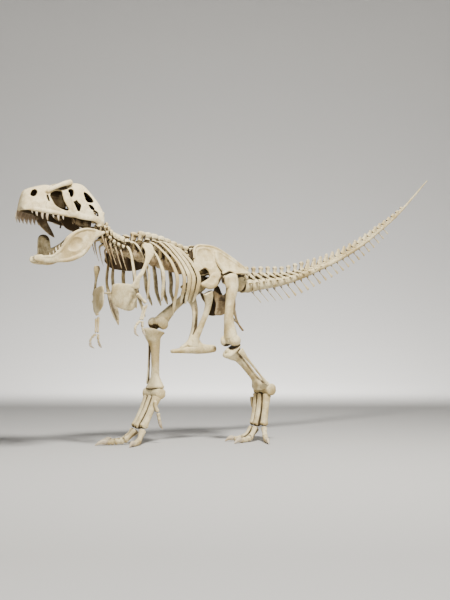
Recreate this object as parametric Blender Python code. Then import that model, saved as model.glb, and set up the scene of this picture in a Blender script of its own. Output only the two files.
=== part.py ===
"""Mounted skeleton of an adult Tyrannosaurus rex at life size, striding with its mouth open.

The animal faces -X, its left side is -Y and +Z is up.  Every place below is measured from the
point on the floor midway between the hip sockets; MOUNT_SHIFT moves the whole skeleton so that
the origin lies on the floor under the middle of its bounding box.
"""

import math

import bpy
import numpy as np

MOUNT_SHIFT = (-1.18, 0.03, 0.0)
JOINT_GAP = 0.006
SPLIT_GAP = 0.002
BONE_COLOUR = (0.66, 0.56, 0.36)
BONE_ROUGHNESS = 0.72

SIDES = {"left": -1.0, "right": 1.0}
UP = np.array((0.0, 0.0, 1.0))
ALONG = np.array((1.0, 0.0, 0.0))
ACROSS = np.array((0.0, 1.0, 0.0))

# Skull and jaw share the jaw joint; each has its own pitch above the horizontal.
JAW_JOINT = np.array((-2.69, 0.0, 3.745))
HEAD_LENGTH = 0.95
HEAD_SCALE = 0.975
SKULL_PITCH = math.radians(11.0)
JAW_PITCH = math.radians(-26.0)

# The backbone as (x, z, radius of the vertebral bodies), from the first neck bone to the tail tip.
NECK_LINE = (
    (-2.46, 3.90, 0.078), (-2.43, 3.78, 0.090), (-2.36, 3.67, 0.102), (-2.23, 3.575, 0.112),
    (-2.05, 3.52, 0.118),
)
BACK_LINE = (
    (-2.05, 3.52, 0.118), (-1.60, 3.41, 0.11), (-1.20, 3.33, 0.115), (-0.80, 3.26, 0.12),
    (-0.47, 3.21, 0.125),
)
SACRUM_LINE = (
    (-0.47, 3.21, 0.125), (-0.20, 3.27, 0.11), (0.10, 3.29, 0.10), (0.38, 3.17, 0.125), (0.58, 3.045, 0.145),
    (0.72, 3.00, 0.155),
)
TAIL_LINE = (
    (0.72, 3.00, 0.155), (0.95, 3.02, 0.135), (1.34, 3.085, 0.118), (1.76, 3.145, 0.097),
    (2.32, 3.293, 0.075),
    (2.91, 3.507, 0.060), (3.51, 3.75, 0.050), (4.15, 4.077, 0.044), (4.80, 4.49, 0.040),
    (5.49, 4.975, 0.030),
    (6.46, 5.81, 0.014),
)
NECK_COUNT = 6
BACK_COUNT = 11
SACRUM_COUNT = 5
TAIL_COUNT = 34
TAIL_STARTS = (0, 8, 16, 25, TAIL_COUNT)
SPINED_TAIL = 28
CHEVRON_TAIL = 24

# Joints of the limbs on each side: hip, knee, ankle and the ball of the foot.
LEG_JOINTS = {
    "left": ((0.10, -0.31, 3.07), (0.11, -0.45, 1.79), (0.93, -0.40, 1.00), (0.74, -0.44, 0.29)),
    "right": ((0.10, 0.31, 3.07), (-0.91, 0.55, 2.16), (-0.95, 0.50, 0.95), (-1.33, 0.49, 0.29)),
}
# Headings of toes II, III and IV in degrees, outward from straight ahead.
TOE_HEADINGS = {"left": (-13.0, 15.0, 58.0), "right": (-33.0, 20.0, 50.0)}
TOE_REACH = (0.60, 0.72, 0.60)

# Joints of the arms: shoulder, elbow and wrist.
ARM_JOINTS = {
    "left": ((-2.155, -0.60, 2.70), (-1.99, -0.66, 2.517), (-2.064, -0.62, 2.217)),
    "right": ((-2.112, 0.65, 2.65), (-2.048, 0.63, 2.343), (-2.077, 0.60, 2.017)),
}
# Where each shoulder joint's plate stands, as (x, z), and how large each shoulder blade is.
SHOULDERS = {"left": (-2.08, 2.68), "right": (-2.185, 2.65)}
# Reach up, breadth, lean back, place behind the shoulder and spread outwards of each shoulder blade.
BLADE_SET = {"left": (1.0, 1.0, 1.0, 0.0, 1.0), "right": (0.66, 0.36, 0.4, 0.05, 0.2)}

# The front of the body swings a little to its left: heading in degrees against X, and how much of
# the sideways swing is also gained forward.
SWING = ((-0.60, 0.0), (-2.20, 8.0), (-2.80, 2.5), (-4.60, 2.5))
SWING_GAIN = 0.78
SWING_GRID = np.linspace(SWING[0][0], SWING[-1][0], 200)
SWING_HEADING = np.radians(np.interp(-SWING_GRID, [-x for x, _ in SWING], [turn for _, turn in SWING]))
SWING_ASIDE = np.concatenate(((0.0,), np.cumsum(np.tan(SWING_HEADING[1:]) * np.diff(SWING_GRID))))


def swing(points):
    """Bends what lies ahead of the first SWING place sideways, each cross section staying flat."""
    points = np.array(points, float)
    ahead = -points[:, 0]
    heading = np.interp(ahead, -SWING_GRID, SWING_HEADING)
    aside = np.interp(ahead, -SWING_GRID, SWING_ASIDE)
    across = points[:, 1].copy()
    points[:, 0] += aside * SWING_GAIN - across * np.sin(heading)
    points[:, 1] = aside + across * np.cos(heading)
    return points


def unit(vector):
    vector = np.asarray(vector, float)
    return vector / np.linalg.norm(vector)


def smooth(rows, count):
    """Catmull-Rom curve through the rows, read at count even steps along its length."""
    rows = np.asarray(rows, float)
    padded = np.vstack((2 * rows[0] - rows[1], rows, 2 * rows[-1] - rows[-2]))
    steps = np.linspace(0.0, len(rows) - 1.0, 24 * len(rows))
    index = np.minimum(steps.astype(int), len(rows) - 2)
    t = (steps - index)[:, None]
    a, b, c, d = padded[index], padded[index + 1], padded[index + 2], padded[index + 3]
    fine = 0.5 * (2 * b + (c - a) * t + (2 * a - 5 * b + 4 * c - d) * t**2 + (3 * b - a - 3 * c + d) * t**3)
    place = fine[:, : min(3, fine.shape[1])]
    travelled = np.concatenate(((0.0,), np.cumsum(np.linalg.norm(np.diff(place, axis=0), axis=1))))
    where = np.linspace(0.0, travelled[-1], count)
    return np.column_stack([np.interp(where, travelled, column) for column in fine.T])


def tube(centres, half_a, half_b, corners, turn=0.0):
    """Closed shell of rings: each ring is an ellipse about its centre with the two half-axis vectors."""
    centres = np.asarray(centres, float)
    angles = turn + np.arange(corners) * 2 * np.pi / corners
    rings = (
        centres[:, None]
        + np.asarray(half_a, float)[:, None] * np.cos(angles)[None, :, None]
        + np.asarray(half_b, float)[:, None] * np.sin(angles)[None, :, None]
    )
    return skin_rings(rings)


def skin_rings(rings):
    """Closed shell over rings of equal length, with a flat face on the first and the last."""
    count, corners = rings.shape[:2]
    faces = [
        (
            i * corners + j, i * corners + (j + 1) % corners,
            (i + 1) * corners + (j + 1) % corners, (i + 1) * corners + j,
        )
        for i in range(count - 1)
        for j in range(corners)
    ]
    faces.append(tuple(range(corners))[::-1])
    faces.append(tuple((count - 1) * corners + j for j in range(corners)))
    points = rings.reshape(-1, 3)
    if signed_volume(points, faces) < 0:
        faces = [face[::-1] for face in faces]
    return points, faces


def signed_volume(points, faces):
    middle = points.mean(axis=0)
    total = 0.0
    for face in faces:
        corner = points[list(face)] - middle
        first = np.repeat(corner[:1], len(corner) - 2, 0)
        total += np.einsum("ij,ij->", np.cross(corner[1:-1], corner[2:]), first)
    return total


def limb(rows, across, corners=8):
    """Shaft through rows of (x, y, z, half width along across, half depth square to it)."""
    rows = np.asarray(rows, float)
    centres = rows[:, :3]
    run = np.gradient(centres, axis=0)
    run /= np.linalg.norm(run, axis=1, keepdims=True)
    side = np.asarray(across, float) - run * (run @ np.asarray(across, float))[:, None]
    side /= np.linalg.norm(side, axis=1, keepdims=True)
    other = np.cross(run, side)
    return tube(centres, side * rows[:, 3:4], other * rows[:, 4:5], corners, np.pi / corners)


def between(start, end, profile):
    """Rows for limb from profile rows of (share of the way, bow along X and Y, half width, half depth)."""
    start, end = np.asarray(start, float), np.asarray(end, float)
    rows = []
    for share, bow_x, bow_y, width, depth in profile:
        place = start + (end - start) * share + ALONG * bow_x + ACROSS * bow_y
        rows.append((*place, width, depth))
    return rows


def ball(centre, radii, rings=4, corners=8):
    """Ellipsoid: rings of a half circle turned about Z."""
    polar = np.linspace(0.0, np.pi, rings + 2)[1:-1]
    radii = np.asarray(radii, float)
    centres = np.asarray(centre, float) + np.outer(np.cos(polar) * radii[2], UP)
    return tube(
        np.vstack((centres[0] + UP * radii[2] * 0.18, centres, centres[-1] - UP * radii[2] * 0.18)),
        np.outer(np.concatenate(((0.35,), np.sin(polar), (0.35,))) * radii[0], ALONG),
        np.outer(np.concatenate(((0.35,), np.sin(polar), (0.35,))) * radii[1], ACROSS),
        corners,
    )


def slab(outline, place, thickness):
    """Prism over an outline: place turns each outline point and a lateral offset into a point in space."""
    near = [place(point, -thickness / 2) for point in outline]
    far = [place(point, thickness / 2) for point in outline]
    return skin_rings(np.array((near, far)))


def plate(centres, half_a, half_b):
    """Bar of oblong section, given by the half length and half thickness vectors at each centre."""
    spread = math.sqrt(2.0)
    return tube(centres, np.asarray(half_a) * spread, np.asarray(half_b) * spread, 4, math.pi / 4)


def finish(name, colour, roughness):
    made = bpy.data.materials.new(name)
    made.use_nodes = True
    shader = made.node_tree.nodes["Principled BSDF"]
    shader.inputs["Base Color"].default_value = (*colour, 1.0)
    shader.inputs["Roughness"].default_value = roughness
    shader.inputs["Metallic"].default_value = 0.0
    return made


def mesh_object(name, shells):
    points = swing(np.vstack([shell[0] for shell in shells]))
    faces = []
    start = 0
    for shell_points, shell_faces in shells:
        faces.extend(tuple(start + index for index in face) for face in shell_faces)
        start += len(shell_points)
    mesh = bpy.data.meshes.new(name)
    mesh.from_pydata(points.tolist(), [], faces)
    thing = bpy.data.objects.new(name, mesh)
    bpy.context.scene.collection.objects.link(thing)
    return thing


def helper(name, shells):
    thing = mesh_object(name, shells)
    thing.hide_render = True
    thing.display_type = "WIRE"
    return thing


def combine(thing, other, operation, solver="EXACT"):
    step = thing.modifiers.new(operation.lower(), "BOOLEAN")
    step.operation = operation
    step.object = other
    step.solver = solver
    if solver == "EXACT":
        step.use_self = operation == "UNION"


def bone(name, shells, cutters=()):
    """One solid: the first shell with the others joined to it, less the cutters."""
    thing = mesh_object(name, shells[:1])
    thing.parent = mount
    thing.data.materials.append(finish(name + "_fossil", BONE_COLOUR, BONE_ROUGHNESS))
    if len(shells) > 1:
        others = helper(name + "_joined", shells[1:])
        others.parent = mount
        combine(thing, others, "UNION")
    for number, cutter in enumerate(cutters):
        tool = helper(f"{name}_cut_{number}", [cutter])
        tool.parent = mount
        combine(thing, tool, "DIFFERENCE")
    return thing


# ---------------------------------------------------------------- backbone


def column(line, count):
    """Joints between vertebrae along a (x, z, radius) line: places, radii and tailward directions."""
    rows = [(x, 0.0, z, radius) for x, z, radius in line]
    read = smooth(rows, count + 1)
    run = np.gradient(read[:, :3], axis=0)
    run /= np.linalg.norm(run, axis=1, keepdims=True)
    return read[:, :3], read[:, 3], run


def centra(places, radii, run, start_gap=0.0, end_gap=0.0):
    """A chain of spool-shaped vertebral bodies as one shell, wide at each joint and waisted between."""
    rows = []
    for i, (place, radius) in enumerate(zip(places, radii)):
        rows.append((*place, radius, radius))
        if i + 1 < len(places):
            middle = (place + places[i + 1]) / 2
            waist = 0.39 * (radius + radii[i + 1])
            rows.append((*middle, waist, waist))
    rows = np.array(rows)
    rows[0, :3] += run[0] * start_gap
    rows[-1, :3] -= run[-1] * end_gap
    return limb(rows, ACROSS, 6)


def body_frames(places, radii, run):
    """Middle, length, radius, tailward and upward direction of each vertebra."""
    frames = []
    for i in range(len(places) - 1):
        along = unit(places[i + 1] - places[i])
        over = np.cross(ACROSS, along)
        over = over if over[2] > 0 else -over
        length = np.linalg.norm(places[i + 1] - places[i])
        frames.append(((places[i] + places[i + 1]) / 2, length, (radii[i] + radii[i + 1]) / 2, along, over))
    return frames


def spine(frame, height, top_length, thick=0.022, root=0.36, rise=None):
    """Neural arch and spine: a plate that stands on the vertebral body, square to it or along rise."""
    middle, length, radius, along, over = frame
    rise = over if rise is None else rise
    levels = ((0.45 * radius, root, 2.6), (radius + 0.03, root * 0.85, 1.9), (height, top_length, 1.0))
    centres = [middle + rise * up for up, _, _ in levels]
    half_a = [along * length * share for _, share, _ in levels]
    half_b = [ACROSS * thick * wide for _, _, wide in levels]
    return plate(centres, half_a, half_b)


def crossbar(frame, reach, low, high, side=None):
    """Transverse processes: a flat bar through the arch, to one side or to both."""
    middle, length, radius, along, over = frame
    ends = (-reach, reach) if side is None else (-0.02 * side, reach * side)
    inner = middle + over * low
    centres = [inner + ACROSS * end + over * (high - low) * abs(end) / reach for end in (ends[0], 0.0, ends[1])]
    if side is not None:
        centres = [centres[0], centres[2]]
    count = len(centres)
    return plate(centres, [along * length * 0.26] * count, [over * 0.016] * count)


# Height of the spines above the middle of the backbone, by place along X.
NECK_SPINES = ((-2.46, 0.13), (-2.3, 0.155), (-2.05, 0.20))
BACK_SPINES = (
    (-2.05, 0.21), (-1.90, 0.35), (-1.70, 0.45), (-1.45, 0.49), (-1.25, 0.49), (-1.0, 0.47), (-0.75, 0.45),
    (-0.47, 0.44),
)
SACRUM_SPINES = ((-0.47, 0.42), (-0.2, 0.36), (0.12, 0.27), (0.45, 0.30), (0.72, 0.36))
TAIL_SPINES = (
    (0.72, 0.39), (0.9, 0.39), (1.3, 0.355), (1.8, 0.31), (2.3, 0.305), (2.86, 0.245),
    (3.45, 0.235), (4.05, 0.22), (4.6, 0.195), (5.15, 0.13), (5.6, 0.07),
)
# Drop of the chevrons and how far back they slant for each metre of drop, by place along X.
CHEVRONS = (
    (0.85, 0.34), (1.3, 0.345), (1.8, 0.33), (2.5, 0.27), (3.5, 0.21), (4.1, 0.185), (4.7, 0.16),
    (5.2, 0.125),
)
CHEVRON_LEAN = ((0.8, 0.66), (2.5, 0.80), (3.5, 0.95), (5.2, 1.05))
TAIL_WINGS = 12


def read(table, x):
    return float(np.interp(x, [row[0] for row in table], [row[1] for row in table]))


def build_neck():
    places, radii, run = column(NECK_LINE, NECK_COUNT)
    frames = body_frames(places, radii, run)
    half = NECK_COUNT // 2
    for name, first, last in (("neck_front", 0, half), ("neck_back", half, NECK_COUNT)):
        part = slice(first, last + 1)
        start_gap = 5 * JOINT_GAP if first else 4 * JOINT_GAP
        shells = [centra(places[part], radii[part], run[part], start_gap, 4 * JOINT_GAP)]
        for frame in frames[first:last]:
            middle, length, radius, along, over = frame
            shells.append(spine(frame, read(NECK_SPINES, middle[0]), 0.27, 0.042, 0.36))
            shells.append(crossbar(frame, 0.16, 0.03, 0.02))
            for side in SIDES.values():
                root = middle + ACROSS * side * radius * 0.4 - over * 0.02
                elbow = middle + ACROSS * side * 0.15 - over * 0.09
                tip = elbow + np.array((0.08, side * 0.03, -0.33))
                rows = ((*root, 0.026, 0.022), (*elbow, 0.02, 0.02), (*tip, 0.006, 0.006))
                shells.append(limb(rows, ALONG, 4))
        bone(name, shells)


# Ribs from front to back: shoulder x and z, x and half width where the cage is widest, tip x, y and z.
RIBS = (
    (-2.04, 3.52, -2.03, 0.38, -2.03, 0.04, 2.16),
    (-1.93, 3.60, -1.83, 0.52, -1.80, 0.44, 2.60),
    (-1.72, 3.62, -1.57, 0.59, -1.53, 0.50, 2.58),
    (-1.59, 3.64, -1.31, 0.63, -1.22, 0.42, 2.34),
    (-1.45, 3.67, -1.11, 0.59, -1.06, 0.44, 2.56),
    (-1.32, 3.67, -0.94, 0.52, -0.91, 0.38, 2.56),
    (-1.19, 3.65, -0.80, 0.47, -0.80, 0.33, 2.59),
    (-1.07, 3.60, -0.65, 0.44, -0.68, 0.30, 2.60),
)
SHORT_ARMS_FROM = -0.75
RIB_HALF_WIDTH = 0.032
RIB_HALF_THICK = 0.015


# How broad each rib is, as a whole and in its lower half.
RIB_BREADTHS = {
    "left": (
        (0.8, 1.0), (0.8, 0.9), (0.9, 1.0), (1.0, 1.0),
        (1.05, 1.0), (1.2, 1.0), (1.25, 1.0), (1.25, 1.0),
    ),
    "right": (
        (0.85, 2.2), (0.8, 1.0), (1.0, 1.0), (1.0, 1.0),
        (1.0, 1.0), (1.1, 1.0), (1.1, 1.0), (1.1, 1.0),
    ),
}
FIRST_RIB_TIP = {"left": (-1.90, 0.25, 2.45), "right": (-2.03, 0.04, 2.16)}


def rib(frame, side, row, broad, blade):
    """A rib: head on the vertebral body, shoulder on the transverse process, then a long bowed shaft.
    broad scales its width and blade that of its lower half."""
    top_x, top_z, wide_x, width, tip_x, tip_y, tip_z = row
    middle, length, radius, along, over = frame
    path = (
        (middle[0], 0.05, middle[2] + 0.045, 0.75),
        (top_x, 0.26 * min(1.0, width / 0.45), top_z, 0.85),
        (0.34 * top_x + 0.66 * wide_x, 0.80 * width, 3.38, 0.9),
        (wide_x, width, 3.08, 1.05),
        (0.6 * wide_x + 0.4 * tip_x, 0.97 * width, 2.86, 1.0),
        (0.3 * wide_x + 0.7 * tip_x, 0.65 * tip_y + 0.35 * width, 0.6 * tip_z + 0.4 * 2.86, 0.85 * blade),
        (tip_x, tip_y, tip_z, 0.40),
    )
    rows = smooth([(x, side * y, z, size * broad) for x, y, z, size in path], 10)
    run = np.gradient(rows[:, :3], axis=0)
    run /= np.linalg.norm(run, axis=1, keepdims=True)
    fore = ALONG - run * (run @ ALONG)[:, None]
    fore /= np.linalg.norm(fore, axis=1, keepdims=True)
    half_b = np.cross(run, fore) * RIB_HALF_THICK * rows[:, 3:]
    return plate(rows[:, :3], fore * RIB_HALF_WIDTH * rows[:, 3:], half_b)


def build_trunk():
    places, radii, run = column(BACK_LINE, BACK_COUNT)
    frames = body_frames(places, radii, run)
    for name, side in SIDES.items():
        shells = [centra(places, radii, run, JOINT_GAP, JOINT_GAP)]
        for frame in frames:
            height = read(BACK_SPINES, frame[0][0])
            upright = UP if frame[0][0] > SHORT_ARMS_FROM else None
            shells.append(spine(frame, height, 0.42, 0.028, rise=upright))
            reach = 0.25 if frame[0][0] < SHORT_ARMS_FROM else 0.09
            shells.append(crossbar(frame, reach, 0.11, height - 0.19, side))
        rows = ((*RIBS[0][:4], *FIRST_RIB_TIP[name]), *RIBS[1:])
        for frame, row, (broad, blade) in zip(frames, rows, RIB_BREADTHS[name]):
            shells.append(rib(frame, side, row, broad, blade))
        other_half = block((-1.3, -side * (1.0 - SPLIT_GAP / 2), 3.0), (1.2, 1.0, 1.2))
        bone("trunk_" + name, shells, [other_half])


def block(centre, half):
    """Box cut into slices along X, so that it can follow the swing of the body."""
    centre = np.asarray(centre, float)
    centres = centre + np.outer(np.linspace(-1.0, 1.0, 25) * half[0], ALONG)
    return plate(centres, [ACROSS * half[1]] * 25, [UP * half[2]] * 25)


def build_sacrum():
    places, radii, run = column(SACRUM_LINE, SACRUM_COUNT)
    shells = [centra(places, radii, run, 7 * JOINT_GAP, 9 * JOINT_GAP)]
    for frame in body_frames(places, radii, run):
        shells.append(spine(frame, read(SACRUM_SPINES, frame[0][0]), 0.42, 0.02, 0.42, UP))
        shells.append(crossbar(frame, 0.15, 0.02, 0.10))
    bone("sacrum", shells)


def build_tail():
    places, radii, run = column(TAIL_LINE, TAIL_COUNT)
    frames = body_frames(places, radii, run)
    for number, (first, last) in enumerate(zip(TAIL_STARTS, TAIL_STARTS[1:]), 1):
        part = slice(first, last + 1)
        start_gap = JOINT_GAP if first else 4 * JOINT_GAP
        shells = [centra(places[part], radii[part], run[part], start_gap, JOINT_GAP)]
        for index in range(first, min(last, SPINED_TAIL)):
            frame = frames[index]
            middle, length, radius, along, over = frame
            height = read(TAIL_SPINES, middle[0])
            knob = np.interp(index, (0, SPINED_TAIL), (0.27, 0.21))
            shells.append(spine(frame, height, knob, 0.020, 0.34, unit(UP + ALONG * 0.10)))
            if index < TAIL_WINGS:
                shells.append(crossbar(frame, 0.24 * (1 - index / 16), 0.03, 0.04))
            if 0 < index < last - 1 and index < CHEVRON_TAIL:
                drop = read(CHEVRONS, middle[0])
                head = middle - over * radius * 0.7
                tip = middle - UP * drop + ALONG * drop * read(CHEVRON_LEAN, middle[0])
                size = 0.5 + 0.5 * drop / 0.35
                rows = (
                    (*head, 0.02 * size, 0.024 * size), (*((head + tip) / 2), 0.012, 0.015),
                    (*tip, 0.012, 0.024 * size),
                )
                shells.append(limb(rows, ACROSS, 4))
        bone(f"tail_{number}", shells)


# ---------------------------------------------------------------- skull and jaw


def head_frame(pitch):
    fore = np.array((-math.cos(pitch), 0.0, math.sin(pitch)))
    over = np.array((math.sin(pitch), 0.0, math.cos(pitch)))
    return fore, over


def head_place(pitch):
    """Turns (forward from the jaw joint, height) and a lateral offset into a place in space."""
    fore, over = head_frame(pitch)

    def place(point, lateral):
        return JAW_JOINT + fore * (point[0] * HEAD_LENGTH) + (over * point[1] + ACROSS * lateral) * HEAD_SCALE

    return place


# Forward distance, half width low and high, height of the lower margin and of the roof.
SKULL_STATIONS = (
    (1.325, 0.06, 0.035, 0.06, 0.27), (1.295, 0.125, 0.075, 0.00, 0.355), (1.19, 0.175, 0.105, 0.02, 0.435),
    (1.00, 0.215, 0.12, 0.04, 0.535), (0.86, 0.25, 0.125, 0.05, 0.565), (0.70, 0.31, 0.16, 0.05, 0.61),
    (0.55, 0.375, 0.22, 0.06, 0.70), (0.38, 0.415, 0.25, 0.08, 0.735), (0.20, 0.43, 0.235, 0.10, 0.655),
    (0.04, 0.43, 0.25, 0.07, 0.52), (-0.06, 0.40, 0.29, 0.05, 0.37),
)
SKULL_WALL = 0.045
# Where each ring point stands: share of the low half width, share of the high one, share of the height.
SKULL_RING = ((1.0, 0.0, 0.0), (1.02, 0.0, 0.30), (0.62, 0.40, 0.68), (0.0, 1.0, 0.93), (0.0, 0.55, 1.0))


def skull_shell(inset, drop):
    """The skull's dome as rings from the snout back, inset on all sides, its foot lowered by drop."""
    place = head_place(SKULL_PITCH)
    rings = []
    stations = SKULL_STATIONS if inset == 0 else SKULL_STATIONS[1:]
    for index, (ahead, low, high, foot, roof) in enumerate(stations):
        half = []
        for low_share, high_share, up_share in SKULL_RING:
            across = low * low_share + high * high_share
            across = max(0.02, across - inset * (1.0 if up_share < 0.97 else 0.6))
            height = foot - drop if up_share == 0 else foot + (roof - inset - foot) * up_share
            half.append((across, height))
        shift = -0.035 if inset and index == 0 else 0.0
        if inset and index == len(stations) - 1:
            shift = 0.04
        ring = [place((ahead + shift, height), -across) for across, height in half]
        ring += [place((ahead + shift, height), across) for across, height in half[::-1]]
        rings.append(ring)
    return skin_rings(np.array(rings))


# Openings in each side wall, as outlines of forward distance and height.
ANTORBITAL = (
    (0.925, 0.355), (0.885, 0.42), (0.80, 0.482), (0.725, 0.485), (0.705, 0.38), (0.62, 0.185), (0.66, 0.155),
    (0.76, 0.170),
    (0.83, 0.207), (0.88, 0.277),
)
ORBIT = ((0.635, 0.526), (0.584, 0.563), (0.555, 0.530), (0.562, 0.435), (0.607, 0.401))
TEMPORAL = ((0.590, 0.375), (0.512, 0.375), (0.425, 0.30), (0.435, 0.185), (0.48, 0.20), (0.535, 0.28))
SUPRATEMPORAL = ((0.385, 0.560), (0.335, 0.400), (0.19, 0.430), (0.24, 0.525))
REAR_HOLES = (
    ((0.295, 0.350), (0.215, 0.355), (0.165, 0.300), (0.235, 0.280)),
    ((0.195, 0.270), (0.107, 0.262), (0.080, 0.20), (0.165, 0.215)),
)
NOSTRIL = ((1.240, 0.275), (1.215, 0.360), (1.155, 0.392), (1.130, 0.350), (1.150, 0.280), (1.205, 0.252))
# The quadrate as places on the side, half width and half depth.
QUADRATE = (((0.02, 0.32), 0.03, 0.06), ((0.03, 0.10), 0.035, 0.05), ((0.01, 0.035), 0.06, 0.05))
QUADRATE_ASIDE = 0.385
PALATE_FLANGE = {
    "left": ((0.47, 0.22), (0.465, 0.06), (0.445, -0.12), (0.415, -0.12), (0.39, 0.0), (0.38, 0.25)),
    "right": (
        (0.93, 0.10), (0.90, -0.02), (0.80, -0.10), (0.66, -0.165), (0.50, -0.215), (0.46, -0.205),
        (0.58, -0.09),
        (0.70, 0.02), (0.72, 0.16),
    ),
}
# Forward distance, length and half breadth of the crowns that are still in place on each side.
UPPER_TEETH = {
    "left": (
        (1.17, 0.05, 0.016), (1.085, 0.085, 0.020), (0.988, 0.115, 0.020), (0.905, 0.12, 0.020),
        (0.82, 0.075, 0.018),
        (0.735, 0.11, 0.022), (0.665, 0.08, 0.018),
    ),
    "right": (
        (1.215, 0.19, 0.024), (1.14, 0.19, 0.024), (1.06, 0.19, 0.024), (0.98, 0.18, 0.024),
        (0.90, 0.16, 0.022),
        (0.82, 0.14, 0.022),
    ),
}
LOWER_TEETH = {
    "left": ((0.91, 0.05, 0.014), (0.85, 0.075, 0.016), (0.79, 0.06, 0.016), (0.73, 0.045, 0.015)),
    "right": ((0.98, 0.05, 0.015), (0.90, 0.06, 0.016), (0.82, 0.07, 0.016)),
}


def window(outline, side, near=0.03, far=0.60):
    """Cutter for an opening in one side wall of the skull."""
    place = head_place(SKULL_PITCH)
    inner = [place(point, side * near) for point in outline]
    outer = [place(point, side * far) for point in outline]
    return skin_rings(np.array((inner, outer)))


def skull_half_width(ahead):
    """Half width of the skull at its lower margin and the height of that margin."""
    table = SKULL_STATIONS[::-1]
    stations = [row[0] for row in table]
    half_width = np.interp(ahead, stations, [row[1] for row in table])
    return half_width, np.interp(ahead, stations, [row[3] for row in table])


def tooth(root, tip, size):
    """A tooth: a tapering four-sided cone, its root buried in the jaw."""
    middle = root + (tip - root) * 0.55
    rows = ((*root, size, size * 1.3), (*middle, size * 0.8, size), (*tip, 0.003, 0.004))
    return limb(rows, ACROSS, 4)


def build_cranium():
    place = head_place(SKULL_PITCH)
    _, over = head_frame(SKULL_PITCH)
    shells = [skull_shell(0.0, 0.0)]
    cavity = skull_shell(SKULL_WALL, 0.2)
    cuts = []
    extra = []
    for name, side in SIDES.items():
        openings = (ANTORBITAL, ORBIT, TEMPORAL, SUPRATEMPORAL, *REAR_HOLES, NOSTRIL)
        cuts += [window(outline, side) for outline in openings]
        brow = (
            (1.00, 0.175, 0.375, 0.75), (0.93, 0.195, 0.455, 0.85), (0.83, 0.20, 0.54, 0.95),
            (0.72, 0.215, 0.615, 1.1),
            (0.635, 0.225, 0.665, 1.25), (0.585, 0.225, 0.685, 0.9),
        )
        rows = []
        for ahead, lateral, height, size in brow:
            rows.append((*place((ahead, height), side * lateral), 0.052 * size, 0.038 * size))
        extra.append(limb(rows, ACROSS, 6))
        rows = []
        for point, wide, deep in QUADRATE:
            rows.append((*place(point, side * QUADRATE_ASIDE), wide, deep))
        extra.append(limb(rows, ACROSS, 6))

        def on_flange(point, shift, s=side):
            return place(point, s * (0.18 - 0.30 * point[1]) + shift)

        extra.append(slab(PALATE_FLANGE[name], on_flange, 0.035))
        for ahead, length, broad in UPPER_TEETH[name]:
            half_width, foot = skull_half_width(ahead)
            lateral = side * (half_width - 0.025)
            root = place((ahead, foot + 0.03), lateral)
            extra.append(tooth(root, place((ahead - 0.022, foot - length), lateral), broad))
    palate = (
        (1.20, 0.10, 0.10), (0.95, 0.13, 0.15), (0.65, 0.17, 0.20), (0.35, 0.21, 0.27), (0.08, 0.26, 0.36),
    )
    centres = [place((ahead, height), 0.0) for ahead, height, _ in palate]
    extra.append(plate(centres, [ACROSS * wide for _, _, wide in palate], [over * 0.016] * len(palate)))
    braincase = (
        (0.42, 0.50, 0.10, 0.10), (0.20, 0.43, 0.12, 0.15), (0.0, 0.36, 0.16, 0.17),
        (-0.06, 0.34, 0.12, 0.12),
    )
    centres = [place((ahead, height), 0.0) for ahead, height, _, _ in braincase]
    half_b = [over * tall for _, _, _, tall in braincase]
    extra.append(plate(centres, [ACROSS * wide for _, _, wide, _ in braincase], half_b))
    extra.append(ball(place((-0.09, 0.25), 0.0), (0.07, 0.07, 0.07)))
    hollow = bone("cranium", shells)
    for number, cutter in enumerate([cavity] + cuts):
        tool = helper(f"cranium_cut_{number}", [cutter])
        tool.parent = mount
        combine(hollow, tool, "DIFFERENCE", "MANIFOLD")
    inner = helper("cranium_inner", extra[:1])
    rest = helper("cranium_inner_rest", extra[1:])
    inner.parent = mount
    rest.parent = mount
    combine(inner, rest, "UNION")
    combine(hollow, inner, "UNION", "MANIFOLD")


# Forward distance, half gap between the rami's mid planes, lower and upper edge, half thickness.
RAMUS_STATIONS = (
    (1.165, 0.05, -0.10, -0.005, 0.040), (1.10, 0.13, -0.16, -0.045, 0.036),
    (0.93, 0.235, -0.235, -0.10, 0.032),
    (0.83, 0.271, -0.268, -0.062, 0.031), (0.72, 0.31, -0.305, -0.02, 0.030),
    (0.62, 0.341, -0.317, 0.055, 0.029),
    (0.56, 0.36, -0.325, 0.10, 0.028), (0.42, 0.385, -0.272, 0.135, 0.026),
    (0.26, 0.395, -0.190, 0.12, 0.026),
    (0.12, 0.395, -0.130, 0.05, 0.032), (0.0, 0.39, -0.11, -0.035, 0.045),
    (-0.07, 0.385, -0.10, -0.045, 0.03),
)
# The right ramus stands higher in front of its middle: forward distance and upper edge.
RIGHT_EDGE = (
    (-0.07, -0.045), (0.0, -0.035), (0.12, 0.03), (0.26, -0.03), (0.42, -0.06), (0.53, -0.03), (0.62, 0.17),
    (0.72, 0.215), (0.84, 0.17), (0.93, -0.04), (1.10, -0.045), (1.165, -0.005),
)


def ramus_at(ahead, name):
    """Half gap, lower edge, upper edge and half thickness of one ramus at a forward distance."""
    table = np.array(RAMUS_STATIONS[::-1])
    gap, low, high, thick = (float(np.interp(ahead, table[:, 0], table[:, k])) for k in range(1, 5))
    return gap, low, read(RIGHT_EDGE, ahead) if name == "right" else high, thick


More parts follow.
